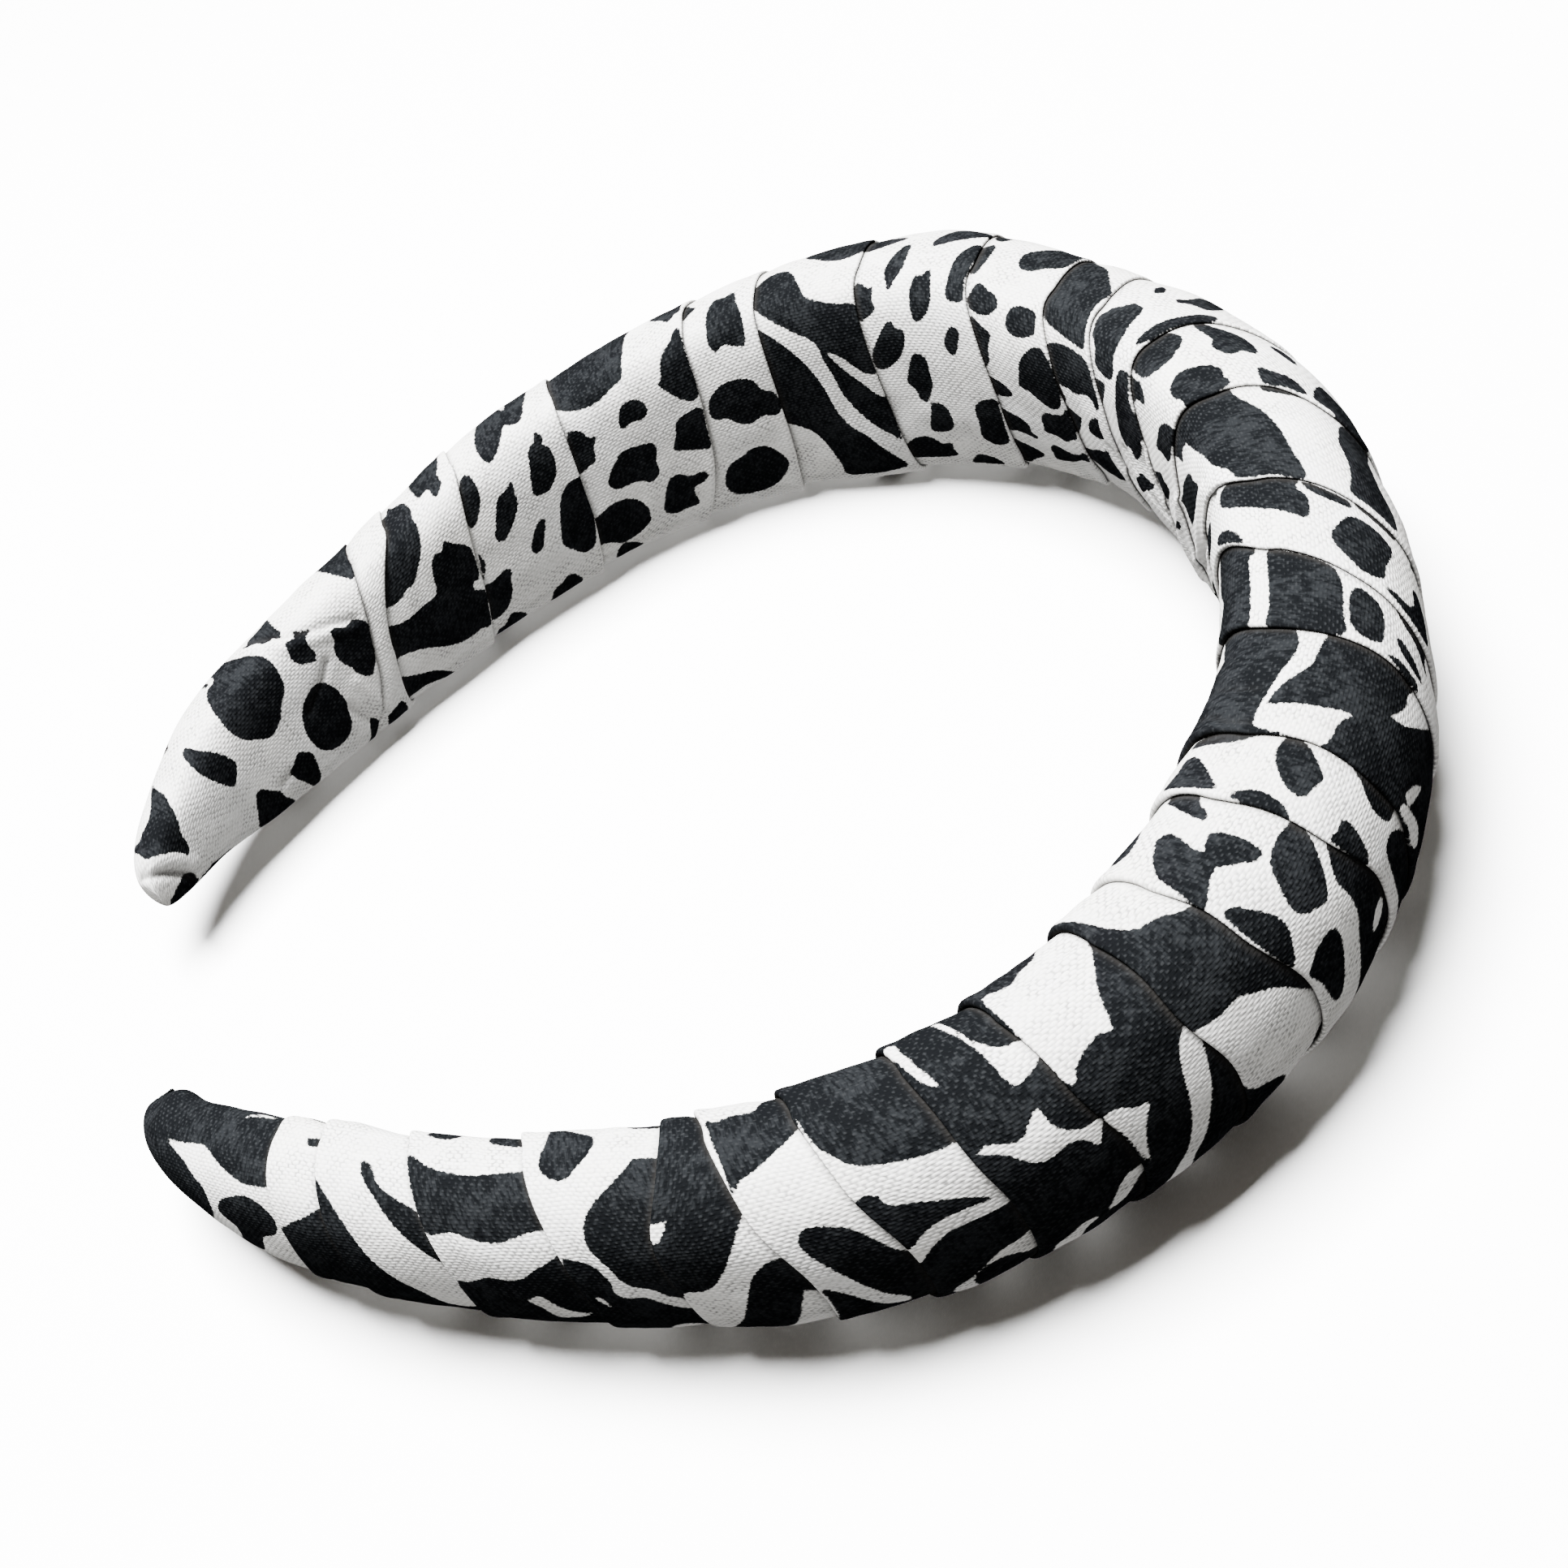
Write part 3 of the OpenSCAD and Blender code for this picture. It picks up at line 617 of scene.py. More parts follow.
          (-12.5, 10.5), (-12.4, 8.5), (-13.7, 6.9), (-15.2, 5.9), (-16.5, 6.3), (-17.8, 7.7), (-18.7, 9)]],
        ["dark", [(-13.4, 3.5), (-12, 4.1), (-10.3, 4), (-9, 3.1), (-7.6, 3.6), (-6.3, 0), (-5.5, -3),
          (-5.8, -5), (-7.5, -5.8), (-9, -5), (-10.3, -3), (-11.6, -0.2), (-12.5, 1.7)]],
        ["dark", [(-11.2, 9), (-10.2, 9), (-9.2, 6.5), (-8.1, 4), (-9.3, 4.2), (-10.4, 5.8), (-11, 7.5)]],
        ["dark", [(-12.3, 15.3), (-11, 16), (-10.3, 12), (-9.8, 10), (-10.8, 10), (-11.7, 12.5)]],
        ["dark", [(-13.5, 19.2), (-12.8, 20.5), (-11.8, 23.5), (-10.3, 23.6), (-11.3, 21.5),
          (-12.6, 19.3)]],
        ["dark", [(-8.9, -10.5), (-8, -8.9), (-6.9, -9), (-5.5, -11), (-4.2, -14), (-2.3, -17.3),
          (-2.2, -21), (-4.5, -18.5), (-6.5, -16), (-8, -13.5)]],
        ["dark", [(-15.2, -3.4), (-13.5, -4), (-11.8, -5.5), (-10.9, -7.5), (-11.8, -8), (-13, -6.5)]],
    ],
    16: [
        ["dark", [(-8.2, 4.2), (-6.5, 4.5), (-4, 3.9), (-1, 3.6), (2, 3), (4.5, 2), (6.7, 1), (8.9, 0.8),
          (9.2, -3), (8.9, -4.5), (9.3, -7.5), (6.5, -7.6), (3.5, -6.8), (0.5, -5.6), (-2, -4.9),
          (-4.5, -3.2), (-6.2, -2.4), (-7, 1)]],
        ["dark", [(5.7, -7.3), (6.2, -8.8), (5.5, -10.2), (7.5, -10.8), (9.4, -11.5), (9.5, -7.5)]],
        ["dark", [(-11.3, 15.5), (-9.8, 16.5), (-8, 16.5), (-6, 15.3), (-4.5, 15), (-2.5, 15.5), (-1, 17),
          (0.5, 18.5), (1.7, 19.5), (1.8, 17.5), (2.2, 14.5), (0.8, 12), (-1, 10.8), (-2.5, 10), (-5, 10.2),
          (-7, 10), (-9.3, 9.3), (-10.3, 11.5)]],
        ["dark", [(-1.7, -9), (-0.5, -8.8), (1, -9.5), (2.5, -9.6), (4, -11), (5.5, -13.5), (6.3, -15.5),
          (7.5, -17.5), (6.4, -18), (4.3, -19.2), (3, -18), (1.3, -15.5), (-0.3, -12.5), (-1.3, -10.7)]],
        ["dark", [(4.4, 8.8), (5, 9.2), (6.2, 7), (7.2, 4.8), (6.2, 4.2), (5.3, 5.5)]],
    ],
    17: [
        ["dark", [(1.5, 13.5), (3, 11.8), (4, 10.2), (5.2, 10.6), (6.8, 12.2), (7.2, 13.5), (6, 15.5),
          (5, 17), (4.5, 18), (3, 19), (1, 18.5), (1.2, 16)]],
        ["dark", [(4.5, 9.2), (6, 9.5), (7.5, 8.3), (8.3, 6.8), (9.3, 5.5), (8, 4.9), (6.6, 4.8),
          (5.6, 7)]],
        ["dark", [(7.9, 1.2), (9.5, 1.4), (11, 1.7), (12.3, 0.6), (13.2, -1.2), (13.2, -2.7), (12.2, -4.3),
          (10.8, -4.7), (9.3, -4.1), (8.1, -4)]],
        ["dark", [(8.4, -7.6), (10.3, -7.8), (11.8, -9.2), (12.2, -11), (13, -13), (11.5, -12.8),
          (10, -13.2), (8.6, -11.8), (8.5, -9.5)]],
        ["dark", [(11.4, 6.8), (12.8, 7.5), (15, 7.6), (17, 6.8), (18.5, 6), (19.9, 5.5), (20, 4.3),
          (18, 3.9), (16, 3.9), (14.8, 3), (13.7, 3.1), (12.3, 4), (12.4, 5.5)]],
        ["dark", [(10, 11.5), (11.5, 12.3), (13, 12), (13.8, 10.8), (13, 10), (11.5, 10.3)]],
        ["dark", [(15.8, -3), (16.2, -1), (17.5, 0.8), (18.8, 1.7), (20.2, 1.3), (21.2, 0), (21.3, -3),
          (20.5, -5), (19, -5.7), (17, -5.3), (16.2, -4.3)]],
        ["dark", [(15.8, -8.4), (16.2, -7.3), (17.5, -6.2), (19, -6.3), (20.4, -6), (19.8, -8),
          (18.6, -9.5), (17.6, -8.5)]],
        ["dark", [(10.8, -18.3), (12, -18.5), (12.7, -17), (13.8, -17.5), (15.4, -18.6), (14.9, -20.5),
          (14.2, -22.7), (12.5, -21.8), (11.8, -20.3)]],
        ["dark", [(8.3, -22), (9, -22), (10, -23.8), (8.8, -23.3)]],
        ["dark", [(12.8, -26.8), (14.5, -27.5), (15.5, -25.5), (16.7, -29), (15.7, -30), (13.8, -28.5)]],
    ],
    18: [
        ["dark", [(19, 6.8), (20, 7.9), (21, 6.5), (21.5, 4.3), (22.2, 2), (22.4, 0.2), (22, -2),
          (21.2, -2.7), (20.6, -1), (20.5, 1.5), (19.8, 4)]],
        ["dark", [(25.2, 1.3), (25.8, 2.2), (27.2, 2.3), (28.2, 1.2), (29.2, 0), (29.5, -1.8), (28.5, -4),
          (27, -5.5), (26.3, -7.5), (24.5, -8.2), (22.8, -8.2), (22.2, -7.3), (23, -5.3), (23.8, -2.8),
          (24.8, -0.5)]],
        ["dark", [(20, -6), (21.5, -6.5), (21.6, -9.5), (21.8, -13), (21.9, -16), (20.9, -17.5),
          (19.7, -16.8), (18.8, -18.5), (17.8, -17.3), (17.2, -15.5), (16.6, -13.5), (17.3, -11.5),
          (18.5, -9.5), (19.3, -7)]],
        ["dark", [(16, -20.9), (17, -21.3), (18.5, -20.3), (19.8, -22), (21.2, -23.2), (20.9, -25),
          (20, -25), (18.5, -23.5), (16.8, -22.4)]],
        ["dark", [(23.9, -9.3), (24.8, -9.2), (26.6, -9.5), (26.2, -11.5), (25.8, -13.6), (24.8, -11.8)]],
        ["dark", [(21.5, 9.5), (22.5, 12), (24, 12.5), (24.5, 10), (24.2, 7.5), (24.8, 6.3), (24, 5.8),
          (23, 7), (21.7, 8)]],
        ["dark", [(27, 7), (28, 7.8), (28.2, 6.5), (27.2, 5.3), (26.6, 6.3)]],
    ],
    19: [
        ["dark", [(30.6, 2), (32, 3.5), (33.5, 5), (35, 6.7), (36.5, 7.8), (38, 8.8), (39.7, 11),
          (40.5, 11), (39.6, 6), (38.6, 0), (37.6, -3), (36, -4.6), (34, -5.2), (31.5, -5.8), (28.3, -6.3),
          (28.6, -4.8), (30, -2.3), (30.6, 0)]],
        ["dark", [(26.6, -8.6), (27.5, -7.4), (30, -6.8), (32.5, -6.6), (34.7, -7), (35.7, -8),
          (34.8, -10), (34, -12.5), (31.5, -12.7), (30, -13), (28, -12.5), (26.8, -13), (26.4, -14.3),
          (25.5, -13.4), (25.7, -11.5)]],
        ["dark", [(34.5, -10), (33.6, -15.5), (32.8, -15), (33, -13.5), (33.5, -12.5)]],
        ["dark", [(26.2, -15.2), (27.5, -16), (28.5, -17), (29.3, -18.8), (28, -19.5), (26.3, -19),
          (26.4, -17)]],
        ["dark", [(30.2, -17), (31.5, -16.9), (33.7, -16.5), (33.5, -21.5), (32.2, -20.5), (31.2, -19)]],
        ["dark", [(26.5, -20.8), (27.5, -21.8), (29.5, -22.5), (31, -23.5), (33.3, -24.8), (33.5, -27),
          (32, -27.7), (29.5, -28.2), (27, -27.8), (25, -26.3), (25.8, -24.5), (26.4, -22.8)]],
    ],
    20: [
        ["dark", [(33, -16.8), (34, -17.8), (35.5, -18.5), (37.5, -18.9), (38.8, -20.3), (39, -22),
          (39.3, -23.4), (37.5, -23.3), (35.8, -24), (34.3, -23), (32.9, -21.7)]],
        ["dark", [(33, -25), (34.5, -26.3), (36, -26.8), (37.5, -26.3), (38.8, -26), (40, -27.5),
          (40.2, -29), (40.6, -31), (39.3, -31), (37.3, -30), (35.8, -28.8), (34.3, -27.7), (33, -27.4)]],
        ["dark", [(39.3, 6), (39.9, 9), (40.2, 12), (44, 12), (43.5, 9.5), (44.3, 7), (45.2, 5), (45, 3),
          (44, 1.7), (42.5, 1.7), (41, 3), (39.3, 4)]],
        ["dark", [(37, -5.5), (37.3, -4.2), (39, -3.7), (41, -4), (41.8, -5.2), (41.6, -7), (40.2, -7.8),
          (38.3, -7.4), (37, -6.6)]],
        ["dark", [(35.5, -8.2), (37, -8.3), (38.5, -9.5), (39.8, -11.3), (40.2, -13.2), (40.8, -15.3),
          (39, -15.8), (37.2, -17), (35.5, -17.5), (33.8, -16.3), (33.3, -14), (33.9, -11), (34.6, -9.3)]],
        ["dark", [(43.5, -4.8), (44.2, -3.7), (46, -3), (47.6, -2.4), (48, -4), (48.2, -5.4), (47, -6.4),
          (45, -6.4), (43.8, -5.5)]],
        ["dark", [(44.2, -8.5), (45.5, -8), (47.5, -7), (47.5, -9.5), (46.8, -14.3), (45.2, -13),
          (45, -11), (44.6, -9.8)]],
        ["dark", [(42.7, -17.8), (43.2, -16.8), (44.8, -16), (46.7, -16.2), (46.6, -19), (45, -19),
          (43.6, -18.5)]],
        ["dark", [(41.2, -25.5), (42, -24.8), (41.8, -23.5), (42.7, -22.2), (44.5, -22), (46.5, -21.8),
          (46.6, -26), (44.5, -25.7), (42.8, -25.8), (41.8, -26.2)]],
        ["dark", [(42.3, -30.8), (43, -29.5), (45, -28.6), (46.8, -28.3), (47.5, -31), (48.4, -35),
          (47, -36), (45, -33.8), (43.3, -32.2)]],
        ["dark", [(48.8, 4), (49.5, 5.5), (50.4, 3.5), (50, 0), (49, -1.5), (48.5, 0.5)]],
        ["dark", [(49, 8.5), (49.8, 11.5), (51.5, 11.5), (51, 8.5), (50, 7), (49.3, 7)]],
    ],
    21: [
        ["dark", [(49.7, 3.5), (51, 3.6), (51.9, 1.5), (51.9, -0.5), (51.4, -3), (51, -5.5), (49.5, -5.8),
          (48.3, -5.3), (49, -3), (49.5, 0)]],
        ["dark", [(49.1, -9.5), (50, -8.9), (51, -9.8), (51.8, -11.8), (51.2, -13.3), (50.3, -13.2),
          (49.5, -11.3)]],
        ["dark", [(46, -19.8), (47.5, -20.2), (49, -21), (50, -22.5), (50.2, -25.5), (50.8, -28.3),
          (49.5, -29.7), (48, -29.5), (46.5, -28), (46, -24)]],
        ["dark", [(53.2, -5), (53.8, -2.8), (54.5, -1.5), (55.1, -2.8), (56, -3), (56.3, -6), (56, -8),
          (55.5, -9), (54, -8), (53.2, -6.5)]],
        ["dark", [(58.7, 3), (59.5, 3.2), (60.4, 1), (60.7, -1.5), (60, -3.5), (59.3, -4.8), (58.5, -3),
          (58.1, -1.2), (58.4, 1)]],
        ["dark", [(61.6, -4), (62.5, -4), (63.9, -3), (64.5, -4.5), (64, -8.2), (62.8, -8), (61.4, -7),
          (61.7, -5.5)]],
        ["dark", [(57.6, -10), (58.7, -9.7), (59.3, -8.6), (60.5, -9.3), (62, -11.3), (63.4, -13.7),
          (63.2, -16), (61.8, -16.1), (60, -15), (58.5, -13.4), (57.7, -11.5)]],
        ["dark", [(55.1, -14.7), (55.7, -13.7), (57, -13.7), (58, -15.2), (58.8, -17), (59.3, -18.5),
          (58.5, -20), (58.2, -21.8), (57.2, -22), (56, -20.2), (55.3, -18.5), (55.2, -16.5)]],
        ["dark", [(54.2, -23.5), (55, -22.2), (56.7, -22.2), (57.3, -24), (58.2, -26.3), (58.4, -27.6),
          (57.5, -28), (55.5, -27.6), (54.3, -26)]],
        ["dark", [(56.3, -30.3), (57.8, -30.7), (58.8, -29.3), (60.3, -28.8), (62, -29.5), (63.6, -31),
          (63.7, -34), (57, -34), (56.5, -32)]],
        ["dark", [(51, -34), (53, -33), (54.5, -34.5), (55, -36), (50.5, -36)]],
        ["dark", [(50, 7.2), (52, 8.5), (54.5, 9), (55.8, 6), (56.2, 4), (55.9, 2.5), (54.5, 3.3),
          (52.5, 5), (51, 6.3)]],
        ["dark", [(60, 5.5), (62, 6.5), (64, 8), (65.2, 8), (65.1, 4), (64, 3.2), (62, 4), (60.5, 4.7)]],
    ],
    22: [
        ["dark", [(64.5, 3), (66, 1.7), (68, 1.6), (70, 2.5), (72, 4.3), (72.5, 6.5), (71, 8), (65, 8.5),
          (64.6, 5)]],
        ["dark", [(63.9, -6.2), (66, -5.6), (68, -5.1), (70.5, -4), (71.5, -2.5), (72.7, 0.3), (74, 2.2),
          (75.5, 2.8), (77, 2.3), (78.2, 0.5), (78.4, -2.5), (77.2, -4.3), (75, -6.5), (73, -8.2),
          (71, -9.8), (70.4, -11), (70.2, -13), (69.6, -16.5), (69.3, -19), (68.3, -22), (66.5, -25.3),
          (64.6, -27.5), (63.2, -27.5), (63.2, -10)]],
        ["pale", [(69.3, -12), (67.8, -12.8), (66.5, -14.5), (65, -16.3), (63, -17), (62.9, -20.8),
          (64.8, -19.5), (66.3, -17.3), (68, -14.7)]],
        ["dark", [(78.4, -6), (77, -7), (75.5, -8.8), (74, -11), (72.8, -13.5), (71.8, -16.5),
          (71.3, -19.5), (71, -22), (70, -24.5), (68, -27), (66.7, -29.5), (65.3, -32), (65, -35),
          (73.3, -35), (73.8, -31.5), (74.5, -27.5), (75.7, -24.5), (77.5, -22.8), (79.5, -21), (79.3, -17),
          (78.8, -10)]],
    ],
    23: [
        ["dark", [(80.6, 1.3), (82, 1), (83.3, 1.3), (84.3, -0.5), (84.7, -3), (85, -5.5), (84.3, -6.7),
          (83, -6.3), (81.7, -7), (80.3, -7.5), (79.7, -6), (79.6, -3.5), (80.3, -1)]],
        ["dark", [(78.6, -15.7), (80, -14.7), (80.8, -12.7), (82.3, -11.8), (84.5, -11.4), (86.5, -12),
          (87.8, -13.2), (88.4, -15.5), (87.5, -16.7), (86.3, -17), (85.2, -18.4), (83.5, -19.3),
          (81.5, -18.8), (79.7, -19.5), (78.4, -18.5)]],
        ["dark", [(80.8, -28.5), (81.5, -26), (82.8, -24), (84.8, -23.5), (86.8, -24.2), (88.5, -24.7),
          (89.8, -26), (90.6, -28.3), (90, -30.5), (88.3, -31.8), (86, -32.2), (83.5, -31.7),
          (81.8, -30.3)]],
        ["dark", [(85.7, 1.6), (86.5, 2.7), (87, 4), (88, 1.8), (88.2, 0), (87.3, 0.3), (86.6, 1)]],
    ],
    24: [
        ["dark", [(87.6, 4), (88, 6), (91.7, 6), (91.5, 3.5), (90.3, 2), (89.4, 0.8), (88.5, 1.8),
          (87.8, 2)]],
        ["dark", [(88, -1.8), (88.7, -1.3), (89.6, -2.6), (91, -3.7), (92, -5), (92.5, -6.5), (93.2, -7.4),
          (92.3, -9), (91.2, -10.7), (89.8, -11.8), (88.5, -11), (88.1, -6)]],
        ["dark", [(89, -13.3), (91, -13.1), (93, -13.6), (94, -15.8), (95, -17.8), (93.5, -18.7),
          (91.5, -19.8), (90, -20), (89.4, -16.5)]],
        ["dark", [(92, -24.3), (92.8, -23.3), (94.5, -23.1), (95.5, -22.1), (97, -21.8), (98.3, -23),
          (99.2, -24.8), (100, -26.8), (98.8, -28.3), (97, -28.3), (95, -28.6), (94.8, -25.5),
          (93.2, -25.2)]],
        ["dark", [(96, -8.5), (96.8, -7.5), (98.5, -7.2), (99.8, -8.3), (100.3, -10.5), (98.5, -10.3),
          (97, -10.7), (96, -10)]],
        ["dark", [(95.2, 6), (95.2, 3), (95.8, 0.5), (96.5, -2), (97.3, -4.1), (99, -4.5), (101.5, -5.2),
          (104, -4.9), (106, -3.8), (107.4, -2), (106.8, 1.5), (105.6, 6)]],
        ["dark", [(103.7, -9.4), (104.8, -9), (105.3, -7.5), (107, -6.6), (107.8, -8.5), (108.3, -11),
          (108.6, -13.2), (106.5, -13), (105.3, -12.5), (104.7, -10.6)]],
        ["dark", [(97.2, -15), (98.5, -14.3), (101.5, -13.6), (103, -14.5), (104.5, -15.8), (105.4, -17.4),
          (104.5, -18.9), (102.5, -19.2), (101, -19.7), (99.8, -20.7), (98.2, -20), (97.9, -18),
          (97.2, -16.5)]],
        ["dark", [(101.8, -24.5), (102.8, -22.2), (104.5, -20.9), (106.8, -20.7), (108.5, -21.2),
          (110.2, -21.7), (111.3, -25.5), (109, -27), (107, -28.5), (104.5, -28.3), (102.3, -27),
          (102, -25.8)]],
        ["dark", [(104.8, -31), (106, -29.3), (107.5, -28.6), (108.7, -30), (108.7, -32), (105, -32)]],
    ],
    25: [
        ["dark", [(108.7, 7), (108.9, 4), (109.8, 1.5), (111, -0.7), (111.8, -1.6), (113, -1.3),
          (113.8, -0.2), (115, -2), (116.5, -3.4), (118.2, -4), (118.8, -2.8), (118.6, -0.5), (117.8, 1.5),
          (116.8, 4), (116.3, 6.5), (113.3, 7)]],
        ["pale", [(112, 6.5), (112.3, 4), (112.8, 3), (113, 6.5)]],
        ["dark", [(110.2, -5.2), (111, -4.1), (111.6, -5), (113, -5.7), (113.6, -7), (114.7, -9.5),
          (115.2, -11.6), (114, -12.3), (112.8, -12.3), (111.2, -11), (110.3, -9), (110.2, -7),
          (110.8, -6)]],
        ["dark", [(117, -7.7), (118.2, -8.2), (119.8, -8.5), (121, -10), (122, -11.8), (122.8, -13),
          (122.3, -14.5), (120.8, -14), (119.2, -12.8), (117.8, -11.2), (117.3, -9.3)]],
        ["dark", [(121.3, -4), (121.8, -2.9), (123, -3.3), (124.2, -5), (125.2, -7.8), (124.9, -9.5),
          (123.8, -9.2), (122.6, -8), (121.6, -6.5)]],
        ["dark", [(115.5, -16), (116.2, -15.4), (117.2, -16), (118.3, -17.2), (119.2, -18.5), (119, -19.8),
          (117.8, -19.7), (116.8, -18.3)]],
        ["dark", [(108, -13.4), (110, -13.2), (111.5, -13.8), (112.7, -15.3), (113.7, -17.5),
          (114.5, -19.7), (115, -21.5), (114.2, -23), (113.3, -24.5), (112.5, -25.4), (111, -25),
          (110.2, -23.5), (109.2, -20.5), (108.5, -17), (107.9, -14.3)]],
        ["dark", [(115.2, -28), (116.3, -27), (117.5, -27.6), (119, -28), (119.8, -29.5), (120, -31),
          (115, -31)]],
        ["dark", [(123.1, -19.3), (124, -18.5), (126, -18.8), (127.8, -18.7), (128.8, -22), (129.4, -24.5),
          (127.5, -25.2), (125.8, -24.5), (124.4, -22.5), (123.8, -20.6)]],
        ["dark", [(126, -13), (126.3, -14.5), (127.3, -17.6), (126.4, -16.6), (125.7, -15.2)]],
        ["dark", [(124.3, -28), (126, -26.2), (127.5, -27.5), (128.8, -27.7), (129, -30), (124.5, -30)]],
    ],
    26: [
        ["dark", [(122.6, 7), (123, 4), (123.8, 1.5), (124.7, 0.2), (125, -1.8), (126.8, -2.8),
          (127, -0.6), (128.5, -0.8), (128.6, 2), (128.2, 5), (128.2, 7)]],
        ["dark", [(130.2, -1), (130.5, 1.2), (131.7, 2), (132.2, 3.3), (133.3, 1.8), (135.4, 2.5),
          (137.2, -0.8), (138.2, -3), (139.5, -6), (140.8, -9.2), (138.6, -9.9), (137, -9.3), (136, -9.6),
          (134.5, -8.5), (132.5, -6.6), (131.2, -4.5), (130.8, -2.5)]],
        ["dark", [(126.5, -12), (127, -10.5), (128.3, -9), (129.2, -7.9), (130.2, -8.7), (131.5, -8.4),
          (132.7, -9.8), (133.3, -11.7), (134.2, -13.2), (137, -13.1), (140, -12.9), (142.6, -11.7),
          (144.6, -13.5), (146, -18.5), (143.8, -18.3), (143.2, -17.3), (141, -18), (139, -19.2), (137, -21),
          (135, -22.5), (133, -23.7), (131, -23.9), (129.4, -24.4), (128.5, -21.5), (127.7, -18.8),
          (129, -17.4), (128.6, -16.3), (127.4, -16.2)]],
        ["dark", [(137, -28), (138, -25.8), (139.5, -23.8), (141.5, -22.3), (143.5, -21), (146, -19.6),
          (147.5, -23), (147, -25.2), (143, -25.3), (141, -25.8), (139, -27), (137.5, -28.5)]],
    ],
    27: [
        ["dark", [(139, 7), (139.2, 5), (139.8, 3), (140.5, 0.5), (141.2, -1.5), (142.4, -3),
          (143.4, -1.5), (143.8, 1), (144.3, 3.5), (144.4, 6), (142, 7)]],
        ["dark", [(144, -9.2), (144.8, -7.6), (145.6, -7), (147, -7), (147, -16), (146.5, -15),
          (145.5, -13.7), (145, -12), (144.5, -10.5)]],
        ["dark", [(145.8, -23.6), (147.5, -23.5), (149, -24.3), (149, -28), (146, -28)]],
    ],
    "far": [
        ["dark", [(138, 7), (138.2, 5), (138.8, 3), (139.5, 0.5), (140.8, -1.5), (142, -3), (143, -1.5),
          (143.8, 1), (144.3, 3.5), (144.4, 6), (142, 7)]],
        ["dark", [(144, -9.2), (144.8, -7.6), (145.6, -7), (147, -7), (148, -6.2), (149.1, -6),
          (149.2, -7.3), (150, -8.6), (150.2, -10.5), (149.5, -12.5), (149.2, -14), (148.5, -15.2),
          (147.5, -16), (146.5, -15), (145.5, -13.7), (145, -12), (144.5, -10.5)]],
        ["dark", [(150.6, -3.9), (151.8, -3.2), (152.8, -2.4), (153.4, -3.2), (154.5, -2.8), (155.1, -3.7),
          (155.4, -5.2), (154.8, -6.5), (153.8, -7.2), (152.8, -7.7), (152.3, -6.8), (152.4, -5.3),
          (152, -4.3)]],
        ["dark", [(153.4, 4), (155, 3.2), (157, 3), (158.5, 2.6), (158.2, 1.3), (157, 0.8), (156.5, -0.6),
          (155.3, -0.6), (154.5, -1.7), (153.9, -1.2), (153.8, 1)]],
        ["dark", [(158.8, 0), (160, 1.5), (160.9, 3.5), (161, 5.5), (163.3, 5.5), (163.8, 3), (164.5, 2),
          (165.3, 2.2), (166.5, 1), (167.3, -0.8), (167.9, -3), (168, -5.5), (167.2, -7.8), (165.8, -9.5),
          (164.5, -10.8), (163.2, -11), (161.5, -10.2), (160.2, -8.6), (158.6, -7.3), (157.8, -5),
          (157.7, -2.5)]],
        ["dark", [(164.6, 5.5), (164.7, 3), (165.3, 3), (165.4, 5.5)]],
        ["dark", [(173.3, -0.3), (174.2, -0.6), (174.7, -2), (174.8, -3.8), (174.3, -6), (173.4, -8.5),
          (172.3, -10.5), (171, -10), (170.1, -8.7), (170.6, -6.5), (171.5, -4.5), (172.7, -2.5)]],
        ["dark", [(173, 5.3), (174, 5.3), (174.9, 4.5), (174.3, 3), (173.6, 4)]],
        ["dark", [(178.7, 3.8), (179.8, 2.9), (181.3, 1.7), (183, 1), (184.6, 1.4), (185.9, 1.9),
          (186.3, 3.2), (187, 2.7), (187.2, 1), (187.5, -0.5), (186.2, -2.3), (184.8, -4), (183.8, -5.8),
          (183.1, -7.3), (182.3, -6.7), (182, -4.8), (181, -3.4), (180.2, -1.7), (179.5, -0.3),
          (179.2, 1.6)]],
        ["dark", [(152.7, -14.5), (153, -12.8), (153.8, -11.2), (155.2, -10.3), (157, -10.8), (158.5, -12),
          (159.4, -13.6), (159.9, -15.5), (159.8, -18), (159, -19.8), (157.5, -21), (155.5, -21.2),
          (154, -20.2), (153.2, -18.3), (152.7, -16.5)]],
        ["dark", [(160.7, -18.4), (161.5, -17.2), (162.3, -16.4), (163.5, -17), (164.8, -18.2),
          (164.4, -20), (163.6, -22), (162.8, -24.5), (162, -24.8), (161.3, -23), (161, -20.8)]],
        ["dark", [(167.5, -18.5), (168.5, -17), (169.5, -15.3), (170.4, -15), (171.2, -16), (171.8, -17.5),
          (172.5, -19.5), (172.3, -20.8), (170.5, -22.3), (168, -23.3), (166.2, -24.2), (166.5, -22),
          (167.2, -20.3)]],
        ["dark", [(184.2, -9.7), (185.5, -8), (187, -7), (188.3, -6.5), (189.3, -5.7), (189.5, -7),
          (188.5, -8.8), (186.5, -10.7), (184.3, -11.8), (184, -11)]],
        ["dark", [(177, -17.5), (178.2, -16), (179.7, -14.7), (181, -13.3), (182.5, -12.7), (183.5, -12),
          (183.5, -13.5), (181, -15.5), (178.5, -17.5)]],
        ["dark", [(146, -23.5), (147.5, -23.5), (149, -24.3), (150, -23.7), (150.8, -22.1), (151.8, -23),
          (152.3, -24.7), (152.6, -27), (146, -28)]],
    ],
}


